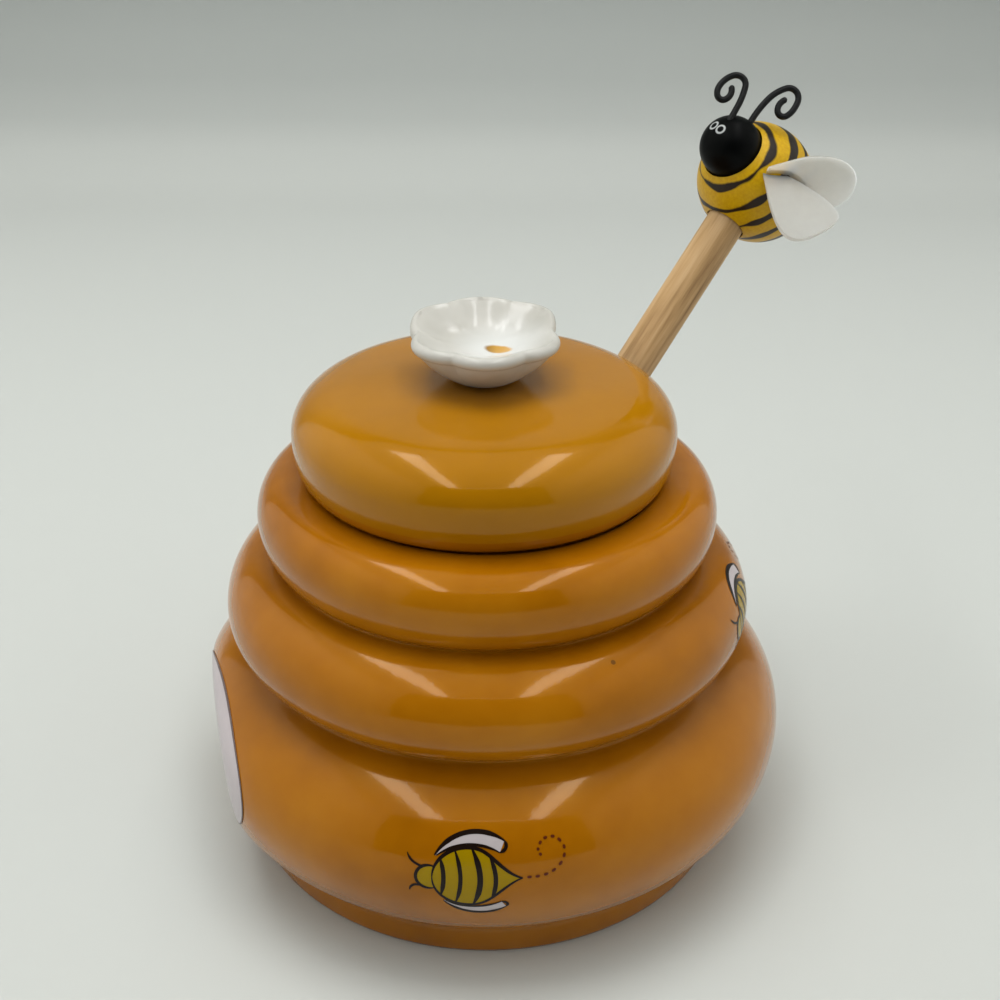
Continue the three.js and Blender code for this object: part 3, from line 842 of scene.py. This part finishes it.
def lid_profile():
    """Closed profile of the lid: hollow, skirt, seat, round edge and dome."""
    seat = SKIRT_RADIUS + LID_SEAT_WIDTH
    lower = [(seat + (LID_RADIUS - seat) * math.cos(a), LID_MIDDLE + LID_DROP * math.sin(a))
             for a in np.linspace(-math.pi / 2, 0, ARC_STEPS)]
    edge = [(LID_RADIUS - LID_BULGE * (1 - math.cos(a)), LID_MIDDLE + LID_RISE * math.sin(a))
            for a in np.linspace(0, LID_EDGE, ARC_STEPS)]
    climb = toward(edge[-2], edge[-1], 1)
    handle = climb * ((LID_TOP - edge[-1][1]) / climb.y * DOME_HANDLE)
    dome = curve_points(edge[-1], Vector(edge[-1]) + handle,
                        (edge[-1][0] * DOME_HANDLE, LID_TOP), (0, LID_TOP), ARC_STEPS)
    inner = SKIRT_RADIUS - SKIRT_WALL
    roof = LID_TOP - LID_WALL
    roof_edge = LID_TOP - LID_DOME - LID_WALL
    hollow = curve_points((0, roof), (inner * DOME_HANDLE, roof), (inner, roof_edge),
                          (inner, roof_edge - HOLLOW_SIDE), ARC_STEPS)
    return [*hollow, (inner, LID_SEAT - SKIRT_DEPTH), (SKIRT_RADIUS, LID_SEAT - SKIRT_DEPTH),
            (SKIRT_RADIUS, LID_SEAT), *lower, *edge[1:], *dome[1:]]


class HONEYJAR_OT_lid(bpy.types.Operator):
    """Model the domed lid with the notch for the dipper"""

    bl_idname = "honeyjar.lid"
    bl_label = "Lid"

    def execute(self, context):
        lid = turned("glazed_lid", lid_profile(), TURN_STEPS)
        points = corners(lid)
        points[:, 0] -= LID_SHIFT
        put_corners(lid, points)
        deselect()
        bpy.ops.mesh.primitive_cylinder_add(vertices=64, radius=NOTCH_RADIUS * MM, depth=BEE_DISTANCE * MM)
        cutter = bpy.context.active_object
        shape = corners(cutter)
        shape[:, 2] += BEE_DISTANCE / 2
        outer = shape[:, 0] > TOLERANCE
        shape[:, 0] += np.where(outer, LID_RADIUS * 2, -NOTCH_REACH)
        put_corners(cutter, shape)
        placed(cutter, DIPPER)
        cut(lid, cutter)
        smooth(lid, angle=40)
        dress(lid, MATERIALS["glaze"], "lid", "lid")
        return {"FINISHED"}


def petals(points, upper):
    """Draws a turned cup out into six petals, raises the back ones and hollows each of them."""
    azimuth = np.arctan2(points[:, 1], points[:, 0])
    r = np.hypot(points[:, 0], points[:, 1])
    out = np.clip((r - FLOWER_FOOT) / (FLOWER_RADIUS - FLOWER_FOOT), 0, 1)
    out = out * out * (3 - 2 * out)
    turn = (azimuth - PETAL_AZIMUTH) * PETALS / 2
    scale = 1 - PETAL_NOTCH * np.where(upper, out ** 3, out) * (1 - np.abs(np.cos(turn)))
    back = np.clip(np.sin(azimuth) / 0.5, 0, 1)
    rise = back * back * (3 - 2 * back) * FLOWER_RISE * out
    ridge = PETAL_RIDGE * np.sin(turn) ** 2 * out ** 2 * (1 - out) * 4 * upper
    x, y, z = points.T
    nearest = PETAL_AZIMUTH + np.round((azimuth - PETAL_AZIMUTH) * PETALS / math.tau) * math.tau / PETALS
    away = np.hypot(x - DISH_PLACE * np.cos(nearest), y - DISH_PLACE * np.sin(nearest))
    hollow = np.clip(1 - (away / DISH_RADIUS) ** 2, 0, 1) ** 2 * DISH_DEPTH * upper
    return np.column_stack([x * scale, y * scale, z + rise + ridge - hollow])


class HONEYJAR_OT_knob(bpy.types.Operator):
    """Model the flower knob"""

    bl_idname = "honeyjar.knob"
    bl_label = "Flower knob"

    def execute(self, context):
        foot = LID_TOP + SEAT_GAP
        rim, bowl, thick = foot + FLOWER_RIM, foot + FLOWER_BOWL, PETAL_THICK
        lip = FLOWER_RADIUS - thick / 2
        under = curve_points((FLOWER_FOOT, foot), (FLOWER_FOOT + thick, foot + thick / 2),
                             (lip - thick / 2, rim - thick * 2), (lip, rim - thick), ARC_STEPS)
        inner = curve_points((lip, rim), (lip - thick * 2, rim - thick / 2), (FLOWER_FOOT, bowl), (0, bowl),
                             ARC_STEPS * 3)
        nose = [(lip + thick / 2 * math.cos(a), rim - thick / 2 + thick / 2 * math.sin(a))
                for a in np.linspace(-math.pi / 2, math.pi / 2, GROOVE_STEPS + 2)][1:-1]
        flower = turned("flower", [(0, foot), *under, *nose, *inner], FLOWER_STEPS)
        points = corners(flower)
        r = np.hypot(points[:, 0], points[:, 1])
        middle = (np.interp(r, *zip(*under)) + np.interp(r, *zip(*reversed(inner)))) / 2
        points = petals(points, (points[:, 2] > middle) * (r < lip))
        points[:, 0] -= LID_SHIFT
        put_corners(flower, points)
        smooth(flower, angle=60)
        dress(flower, MATERIALS["white"], "lid", "flower_knob")
        return {"FINISHED"}


class HONEYJAR_OT_dipper(bpy.types.Operator):
    """Model the dipper's rod and grooved head"""

    bl_idname = "honeyjar.dipper"
    bl_label = "Dipper"

    def execute(self, context):
        head = turned("dipper_head_wood", head_profile(), SMALL_STEPS)
        deselect()
        bpy.ops.mesh.primitive_cylinder_add(
            vertices=SMALL_STEPS, radius=(ROD_RADIUS + SEAT_GAP) * MM, depth=2 * SOCKET_DEPTH * MM,
            location=(0, 0, HEAD_LENGTH * MM))
        bore = bpy.context.active_object
        bake_place(bore)
        cut(head, bore)
        smooth(head, angle=30)
        placed(head, DIPPER)
        dress(head, MATERIALS["beech"], "dipper", "dipper_head")

        start, end = HEAD_LENGTH - SOCKET_DEPTH + SEAT_GAP, BEE_HOLE_END - SEAT_GAP
        rod = turned("dipper_rod_wood", [
            (0, start), (ROD_RADIUS - ROD_EASE, start), (ROD_RADIUS, start + ROD_EASE),
            (ROD_RADIUS, end - ROD_EASE), (ROD_RADIUS - ROD_EASE, end), (0, end)], SMALL_STEPS)
        smooth(rod, angle=30)
        placed(rod, DIPPER)
        dress(rod, MATERIALS["beech"], "dipper", "dipper_rod")
        return {"FINISHED"}


def bee_profile(margin=0.0, steps=48):
    """Profile of the bee's body, from its tail to the flat of its collar."""
    radius = BEE_RADIUS + margin
    mouth = math.acos((COLLAR_REACH + margin - BEE_MIDDLE) / (radius + COLLAR_LIP))
    points = []
    for a in np.linspace(-math.pi / 2, math.pi / 2 - mouth, steps):
        length = BEE_TAIL + margin if a < 0 else radius + COLLAR_LIP
        points.append((radius * max(0.0, math.cos(a)), BEE_MIDDLE + length * math.sin(a)))
    return [*points, (0, points[-1][1])]


class HONEYJAR_OT_bee(bpy.types.Operator):
    """Model the wooden bee's body and head"""

    bl_idname = "honeyjar.bee"
    bl_label = "Bee"

    def execute(self, context):
        body = turned("bee_body_wood", bee_profile(), SMALL_STEPS)
        deselect()
        bpy.ops.mesh.primitive_uv_sphere_add(
            segments=64, ring_count=32, radius=(BEAD_RADIUS + SEAT_GAP) * MM,
            location=(0, 0, BEAD_REACH * MM))
        cup = bpy.context.active_object
        bake_place(cup)
        cut(body, cup)
        placed(body, BEE)
        deselect()
        bpy.ops.mesh.primitive_cylinder_add(
            vertices=64, radius=(ROD_RADIUS + SEAT_GAP) * MM, depth=BEE_HOLE_END * MM,
            location=(0, 0, BEE_HOLE_END / 2 * MM))
        hole = bpy.context.active_object
        bake_place(hole)
        placed(hole, DIPPER)
        cut(body, hole)
        smooth(body, angle=30)
        dress(body, MATERIALS["stripes"], "dipper", "bee_body")

        head = turned("bee_head_bead", [
            (BEAD_RADIUS * max(0.0, math.cos(a)), BEAD_REACH + BEAD_RADIUS * math.sin(a))
            for a in np.linspace(-math.pi / 2, math.pi / 2, 40)], SMALL_STEPS)
        placed(head, BEE)
        smooth(head, angle=60)
        dress(head, MATERIALS["black"], "dipper", "bee_head")
        return {"FINISHED"}


def basis(along, face, origin):
    """Matrix with +X along one direction and +Z as near as it can be to another."""
    x = Vector(along).normalized()
    y = Vector(face).cross(x).normalized()
    z = x.cross(y)
    return Matrix.Translation(origin) @ Matrix((x, y, z)).transposed().to_4x4()


def leaf(name, wing, margin=0.0):
    """One wing as a cupped leaf with round edges, in the bee's frame."""
    length, half = wing["length"] + margin, wing["width"] / 2 + margin
    root = WING_ROOT_WIDTH / 2 + margin
    neck, flank, shoulder = wing["flanks"]
    side = curve_points((-WING_ROOT_DEPTH - margin, root), (length * neck, half * flank),
                        (length, half * shoulder), (length, 0), 120)
    along, across = np.array(side).T

    def place(u, v):
        t = math.sin(u * math.pi / 2) * (len(side) - 1) * WING_TIP_SHARE
        x, y = np.interp(t, range(len(side)), along), np.interp(t, range(len(side)), across) * (v * 2 - 1)
        return (x, y, -WING_CUP * (y / half) ** 2)

    piece = sheet(name, 36, 20, place)
    take(piece)
    bpy.ops.object.mode_set(mode="EDIT")
    bpy.ops.mesh.select_all(action="SELECT")
    bpy.ops.mesh.remove_doubles(threshold=TOLERANCE * MM)
    bpy.ops.object.mode_set(mode="OBJECT")
    shell = piece.modifiers.new("shell", "SOLIDIFY")
    shell.thickness, shell.offset = bpy.context.scene.honeyjar_sizes.wing + 2 * margin * MM, 0
    bpy.ops.object.modifier_apply(modifier="shell")
    edge = piece.modifiers.new("edge", "BEVEL")
    edge.width, edge.segments, edge.limit_method = WING_EDGE * MM, 5, "ANGLE"
    edge.angle_limit = math.radians(50)
    bpy.ops.object.modifier_apply(modifier="edge")
    points = corners(piece)
    thickness = np.clip((points[:, 0] + WING_ROOT_DEPTH) / (length * WING_ROOT_SHARE), WING_ROOT_SHARE, 1)
    points[:, 2] *= thickness
    put_corners(piece, points)
    origin = Vector(wing["root"]).normalized() * BEE_RADIUS
    placed(piece, basis(wing["tip"], wing["face"], origin))
    return piece


class HONEYJAR_OT_wings(bpy.types.Operator):
    """Model the two wings"""

    bl_idname = "honeyjar.wings"
    bl_label = "Wings"

    def execute(self, context):
        for node, wing in WINGS.items():
            piece = leaf(node + "_resin", wing)
            cut(piece, turned("body_room", bee_profile(SEAT_GAP), SMALL_STEPS))
            if node == "bee_wing_right":
                cut(piece, leaf("wing_room", WINGS["bee_wing_left"], SEAT_GAP))
            placed(piece, BEE)
            smooth(piece, angle=40)
            dress(piece, MATERIALS["wing"], "dipper", node)
        return {"FINISHED"}


def antenna_path(antenna):
    """The wire's centre line in the bee's frame, walked along its heading from the floor of its hole."""
    up, across = Vector(CURL_UP).normalized(), Vector(CURL_ACROSS).normalized()

    def way(share):
        heading = math.radians(np.interp(share, antenna["shares"], antenna["headings"]))
        return up * math.cos(heading) + across * math.sin(heading)

    root = Vector(antenna["root"]).normalized() * BEAD_RADIUS
    points = [root - way(0) * WIRE_HOLE + Vector((0, 0, BEAD_REACH))]
    for i in range(WIRE_STEPS):
        points.append(points[-1] + way((i + 0.5) / WIRE_STEPS) * antenna["length"] / WIRE_STEPS)
    return points


class HONEYJAR_OT_antennae(bpy.types.Operator):
    """Bend the two antennae from round wire"""

    bl_idname = "honeyjar.antennae"
    bl_label = "Antennae"

    def execute(self, context):
        radius = context.scene.honeyjar_sizes.wire / 2
        for node, antenna in ANTENNAE.items():
            deselect()
            bpy.ops.curve.primitive_nurbs_path_add()
            wire = context.active_object
            wire.name = node + "_wire"
            path = antenna_path(antenna)
            wire.data.splines.clear()
            spline = wire.data.splines.new("POLY")
            spline.points.add(len(path) - 1)
            for i, (point, place) in enumerate(zip(spline.points, path)):
                point.co = (*(place * MM), 1)
                left = min((len(path) - 1 - i) * antenna["length"] * MM / WIRE_STEPS / radius, 1)
                point.radius = max(math.sqrt(1 - (1 - left) ** 2), WIRE_TIP_SHARE)
            wire.data.bevel_depth = radius
            wire.data.bevel_resolution = 6
            wire.data.use_fill_caps = True
            bpy.ops.object.convert(target="MESH")
            bake_place(wire)
            placed(wire, BEE)
            smooth(wire, angle=60)
            dress(wire, MATERIALS["wire"], "dipper", node)
        return {"FINISHED"}


# Label and printed bees.


class HONEYJAR_OT_label(bpy.types.Operator):
    """Lay the blank oval label on its flat"""

    bl_idname = "honeyjar.label"
    bl_label = "Label"

    def execute(self, context):
        pot = bpy.data.objects["glazed_pot"]
        sizes = context.scene.honeyjar_sizes
        long, short = sizes.label_width / MM, sizes.label_height / MM
        normal = Vector(label_normal())
        across = Vector((0, 0, 1)).cross(normal).normalized()
        up = normal.cross(across)
        centre = Vector((0, 0, BELLY["middle"])) + across * LABEL_PLACE[0] + up * LABEL_PLACE[1]

        def laid(x, y, proud):
            start = (centre + across * x + up * y + normal * BELLY["radius"] * 2) * MM
            spot, way = pot.ray_cast(start, -normal)[1:3]
            return spot / MM + way * proud

        def band(outer, inner, proud):
            def place(u, v):
                angle, inset = u * math.tau, outer + (inner - outer) * v
                wide, tall = (max(size / 2 - inset, 0) for size in (long, short))
                return laid(wide * math.cos(angle), tall * math.sin(angle), proud)
            return place

        field = joined("label_field", [
            sheet("rim", 160, 24, band(0, short / 2 - LABEL_CORE, LABEL_PROUD)),
            sheet("middle", 160, 8, lambda u, v: laid(
                ((long - short) / 2 + LABEL_CORE) * math.cos(u * math.tau) * (1 - v),
                LABEL_CORE * math.sin(u * math.tau) * (1 - v), LABEL_PROUD))])
        edge = sheet("label_edge", 160, 1, band(0, sizes.label_line / MM, LABEL_LINE_PROUD))
        dress(field, MATERIALS["label"], "pot")
        dress(edge, MATERIALS["edge"], "pot")
        return {"FINISHED"}


def bezier(*points):
    """Point on a flat Bezier curve at a share of its run."""
    a, b, c, d = (Vector(p) for p in points)

    def at(t):
        w = 1 - t
        return a * w ** 3 + b * 3 * w * w * t + c * 3 * w * t * t + d * t ** 3
    return at


def chain(points):
    """Point on a soft curve through the points, at a share of its run."""
    points = [Vector(p) for p in points]
    ends = [points[0] * 2 - points[1], *points, points[-1] * 2 - points[-2]]

    def at(t):
        i = min(int(t * (len(points) - 1)), len(points) - 2)
        w = t * (len(points) - 1) - i
        a, b, c, d = ends[i:i + 4]
        square, cube = a * 2 - b * 5 + c * 4 - d, b * 3 - a - c * 3 + d
        return 0.5 * (b * 2 + (c - a) * w + square * w ** 2 + cube * w ** 3)
    return at


def body_side(sign):
    """Upper or lower outline of the printed body, from the head to the pointed tail."""
    def at(t):
        x = -math.cos(t * math.pi)
        swell = max(1 - x * x, 0) ** (0.5 + 0.7 * max(x, 0) ** 2)
        return Vector((BODY_LENGTH * x + TAIL_POINT * max(x, 0) ** 5, sign * BODY_HEIGHT * swell))
    return at


def stripe(x, bow):
    """A curved stripe across the printed body, bowed towards its tail."""
    reach = BODY_HEIGHT * math.sqrt(1 - (x / BODY_LENGTH) ** 2) * 0.97
    return bezier((x, -reach), (x + bow, -reach / 3), (x + bow, reach / 3), (x - 0.3, reach))


# Printed bee, in millimetres, flying to the left: half length and height of the body, its tail, the
# edges of its wings, and its ink lines with their widths.
BODY_LENGTH = 5.9
BODY_HEIGHT = 5.3
TAIL_POINT = 3.0
UPPER_WING = (
    bezier((5.2, 4.5), (2.0, 6.4), (-2.2, 6.2), (-5.3, 3.7)),
    bezier((6.0, 6.4), (2.4, 9.0), (-3.2, 8.2), (-5.6, 3.7)))
LOWER_WING = (
    bezier((-3.7, -4.6), (-1.2, -6.2), (2.6, -6.1), (5.4, -4.6)),
    bezier((-4.0, -4.7), (-1.0, -7.8), (3.4, -8.0), (6.2, -5.8)))
HEAD_CENTRE = (-6.4, -0.2)
HEAD_SIZE = (2.2, 2.1)
INK_LINES = [
    (body_side(1), 0.62), (body_side(-1), 0.5),
    (stripe(-4.4, 0.6), 0.75), (stripe(-2.0, 1.1), 0.7), (stripe(0.9, 1.5), 0.95), (stripe(3.8, 1.0), 0.75),
    (UPPER_WING[0], 0.5), (UPPER_WING[1], 0.8),
    (bezier((5.2, 4.5), (6.2, 4.8), (6.6, 5.6), (6.0, 6.4)), 0.6),
    (LOWER_WING[0], 0.4), (LOWER_WING[1], 0.55),
    (bezier((6.2, -5.8), (6.7, -5.2), (6.3, -4.7), (5.4, -4.6)), 0.5),
    (lambda t: Vector(HEAD_CENTRE) + Vector((
        HEAD_SIZE[0] * math.cos(1.1 + t * 4.1), HEAD_SIZE[1] * math.sin(1.1 + t * 4.1))), 0.55),
    (bezier((-7.4, 1.6), (-8.6, 1.8), (-9.6, 2.2), (-10.2, 3.6)), 0.42),
    (bezier((-7.6, -2.0), (-8.6, -1.8), (-9.4, -2.0), (-9.6, -3.2)), 0.42),
]
TRAIL = chain([
    (9.4, 0.1), (11.6, 0.1), (13.8, 0.7), (15.6, 2.4), (16.0, 4.6), (14.6, 6.3), (12.6, 6.2), (11.6, 4.7),
    (12.2, 3.3)])
TRAIL_DASHES = 13
DASH_WIDTH = 0.5
DASH_SPAN = (0.15, 0.7)
STROKE_END = 0.35
STROKE_TAPER = 3
GROUND_PROUD = 0.04
INK_PROUD = 0.07

# Printed bees: name, azimuth in degrees and height.
PRINTS = [("belly_bee", -92.6, 26.0), ("waist_bee", -13.5, 49.0)]


def printed_bee(name, azimuth, height):
    """One bee printed on the pot: its ground colours and then its ink, each just proud of the last."""
    radius = math.hypot(*surface(azimuth, height, 0, 0)[:2])

    def on_pot(flat, proud):
        return surface(azimuth + flat.x / radius, height, flat.y, proud)

    def patch(piece, low, high):
        return sheet(name + piece, 40, 14, lambda u, v: on_pot(low(u).lerp(high(u), v), GROUND_PROUD))

    def stroke(piece, path, width, start=0.0, end=1.0, steps=32):
        def place(u, v):
            t = start + (end - start) * u
            along = path(min(t + 0.01, 1)) - path(max(t - 0.01, 0))
            side = Vector((-along.y, along.x)).normalized() * width
            thin = min(1, STROKE_END + STROKE_TAPER * min(u, 1 - u))
            return on_pot(path(t) + side * (v - 0.5) * thin, INK_PROUD)
        return sheet(name + piece, steps, 2, place)

    ground = patch("_body", body_side(-1), body_side(1))
    head = patch("_head", *(
        lambda t, sign=sign: Vector(HEAD_CENTRE) + Vector((
            -HEAD_SIZE[0] * math.cos(t * math.pi), sign * HEAD_SIZE[1] * math.sin(t * math.pi)))
        for sign in (-1, 1)))
    wings = joined(name + "_wings", [
        patch("_wing_a", *UPPER_WING), patch("_wing_b", *reversed(LOWER_WING))])
    ink = [stroke("_line", path, width) for path, width in INK_LINES]
    spans = [[(i + share) / TRAIL_DASHES for share in DASH_SPAN] for i in range(TRAIL_DASHES)]
    trail = [stroke("_dash", TRAIL, DASH_WIDTH, *span, steps=6) for span in spans]
    dress(joined(name + "_body", [ground, head]), MATERIALS["mustard"], "pot")
    dress(wings, MATERIALS["label"], "pot")
    dress(joined(name + "_ink", ink), MATERIALS["ink"], "pot")
    dress(joined(name + "_trail", trail), MATERIALS["sepia"], "pot")


class HONEYJAR_OT_print(bpy.types.Operator):
    """Print the small bees on the belly and the waist"""

    bl_idname = "honeyjar.print"
    bl_label = "Printed bees"

    def execute(self, context):
        for name, azimuth, height in PRINTS:
            printed_bee(name, math.radians(azimuth), height)
        return {"FINISHED"}


# Camera: its place in millimetres, how far it looks down and how far it leans.
CAMERA_PLACE = (2.335, -212.60, 179.25)
CAMERA_DOWN = math.radians(28.236)
CAMERA_ROLL = math.radians(0.257)

# Paper sweep, tent and lamps, in metres. The paper turns up to the wall at the back.
PAPER_SIZE = 2.0
SWEEP_STEPS = 24
WALL_PLACE = 0.65
WALL_HEIGHT = 1.2
SWEEP_RADIUS = 0.22

# Painted shade of the paper: share of the floor's colour left in it at shares of its climb to this height.
PAINTED_SHADE_HEIGHT = 80
PAINTED_SHADE_SHARES = [(0.0, 1.0), (0.04, 1.0), (0.15, 0.86), (0.29, 0.5), (0.5, 0.26), (0.75, 0.16), (1.0, 0.0)]

# Cloth of the tent: middle, size, turn, and which brightness it takes.
TENT = [
    ("tent_ceiling", (0, -0.12, 0.85), (1.1, 1.24), (math.pi, 0, 0), "ceiling"),
    ("tent_left", (-0.55, -0.12, 0.425), (0.85, 1.24), (0, math.pi / 2, 0), "sides"),
    ("tent_right", (0.55, -0.12, 0.425), (0.85, 1.24), (0, -math.pi / 2, 0), "sides"),
]

# Lamps of the tent: place, size, turn, power in watts, and whether the glaze mirrors them.
LAMPS = [
    ("strip_left", (-0.30, -0.22, 0.84), (0.105, 1.0), (0, 0, 0), 1.85, True),
    ("strip_right", (0.27, -0.22, 0.84), (0.105, 1.0), (0, 0, 0), 1.85, True),
    ("front_edge", (-0.02, -0.73, 0.84), (0.42, 0.012), (0, 0, 0), 0.06, True),
    ("soft_top", (-0.05, 0.1, 0.84), (0.5, 0.5), (0, 0, 0), 3.6, False),
    ("soft_left", (-0.54, -0.1, 0.1), (0.16, 0.7), (0, -math.pi / 2, 0), 0.45, False),
    ("soft_right", (0.54, -0.1, 0.1), (0.16, 0.7), (0, math.pi / 2, 0), 0.3, False),
    ("soft_front", (0, -0.6, 0.06), (0.6, 0.1), (math.pi / 2, 0, 0), 0.22, False),
]


class HONEYJAR_OT_stage(bpy.types.Operator):
    """Set up the paper sweep, the lamps and the camera"""

    bl_idname = "honeyjar.stage"
    bl_label = "Stage"

    def execute(self, context):
        scene = context.scene
        look = scene.honeyjar_stage
        deselect()
        bpy.ops.mesh.primitive_plane_add(size=PAPER_SIZE, location=(0, WALL_PLACE - PAPER_SIZE / 2, 0))
        floor = bpy.context.active_object
        floor.name = "paper_sweep"
        bake_place(floor)
        bpy.ops.object.mode_set(mode="EDIT")
        bpy.ops.mesh.select_mode(type="EDGE")
        bpy.ops.mesh.select_all(action="DESELECT")
        bpy.ops.object.mode_set(mode="OBJECT")
        for edge in floor.data.edges:
            edge.select = all(floor.data.vertices[v].co.y > 0 for v in edge.vertices)
        bpy.ops.object.mode_set(mode="EDIT")
        bpy.ops.mesh.extrude_region_move(TRANSFORM_OT_translate={"value": (0, 0, WALL_HEIGHT)})
        bpy.ops.object.mode_set(mode="OBJECT")
        bevel = floor.modifiers.new("sweep", "BEVEL")
        bevel.width, bevel.segments = SWEEP_RADIUS, SWEEP_STEPS
        bpy.ops.object.modifier_apply(modifier="sweep")
        bpy.ops.object.shade_smooth()
        floor.data.materials.append(MATERIALS["paper"])

        for name, place, size, turn, glow in TENT:
            deselect()
            bpy.ops.mesh.primitive_plane_add(size=1, location=place)
            panel = bpy.context.active_object
            panel.name = name
            panel.scale = (*size, 1)
            panel.rotation_euler = turn
            bake_place(panel)
            panel.data.materials.append(cloth(name, getattr(look, glow)))

        world = bpy.data.worlds.new("dark_room")
        scene.world = world
        world.use_nodes = True
        tree = world.node_tree
        tree.nodes.clear()
        light = add(tree, "ShaderNodeBackground", {"Color": linear("d9dcdf"), "Strength": 0.05})
        add(tree, "ShaderNodeOutputWorld", {"Surface": light.outputs[0]})

        for name, place, size, turn, power, mirrored in LAMPS:
            data = bpy.data.lights.new(name, "AREA")
            data.shape = "RECTANGLE"
            data.size, data.size_y = size
            data.energy = power
            lamp = bpy.data.objects.new(name, data)
            scene.collection.objects.link(lamp)
            lamp.location = place
            lamp.rotation_euler = turn
            lamp.visible_glossy = lamp.visible_camera = mirrored

        data = bpy.data.cameras.new("camera")
        data.lens = look.lens
        data.sensor_width = 36.0
        data.clip_start = 0.01
        camera = bpy.data.objects.new("camera", data)
        scene.collection.objects.link(camera)
        camera.matrix_world = (
            Matrix.Translation(Vector(CAMERA_PLACE) * MM)
            @ Matrix.Rotation(math.pi / 2 - CAMERA_DOWN, 4, "X") @ Matrix.Rotation(CAMERA_ROLL, 4, "Z"))
        scene.camera = camera
        scene.view_settings.view_transform = "Standard"
        return {"FINISHED"}


class HONEYJAR_PT_panel(bpy.types.Panel):
    """Lists the steps and the sizes."""

    bl_label = "Honey jar"
    bl_idname = "HONEYJAR_PT_panel"
    bl_space_type = "VIEW_3D"
    bl_region_type = "UI"
    bl_category = "Honey jar"

    def draw(self, context):
        for operator in STEPS:
            self.layout.operator(operator.bl_idname)
        for place, group in GROUPS.items():
            for name in group.__annotations__:
                self.layout.prop(getattr(context.scene, place), name)


STEPS = (
    HONEYJAR_OT_pot, HONEYJAR_OT_lid, HONEYJAR_OT_knob, HONEYJAR_OT_dipper, HONEYJAR_OT_bee,
    HONEYJAR_OT_wings, HONEYJAR_OT_antennae, HONEYJAR_OT_label, HONEYJAR_OT_print, HONEYJAR_OT_stage,
)
GROUPS = {
    "honeyjar_sizes": HoneyJarSizes, "honeyjar_glaze": HoneyJarGlaze, "honeyjar_stage": HoneyJarStage}
CLASSES = (*GROUPS.values(), *STEPS, HONEYJAR_PT_panel)
MATERIALS = {}


def register():
    for cls in CLASSES:
        bpy.utils.register_class(cls)
    for place, group in GROUPS.items():
        setattr(bpy.types.Scene, place, bpy.props.PointerProperty(type=group))


def unregister():
    for place in GROUPS:
        delattr(bpy.types.Scene, place)
    for cls in reversed(CLASSES):
        bpy.utils.unregister_class(cls)


def main():
    """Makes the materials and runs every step."""
    register()
    MATERIALS.update(
        glaze=amber_glaze(), white=white_glaze(), beech=beech(), stripes=striped_paint(),
        black=black_paint(), paper=paper(), **{key: plain(*finish) for key, finish in PLAIN.items()})
    for operator in STEPS:
        group, name = operator.bl_idname.split(".")
        getattr(getattr(bpy.ops, group), name)()


if __name__ == "__main__":
    main()
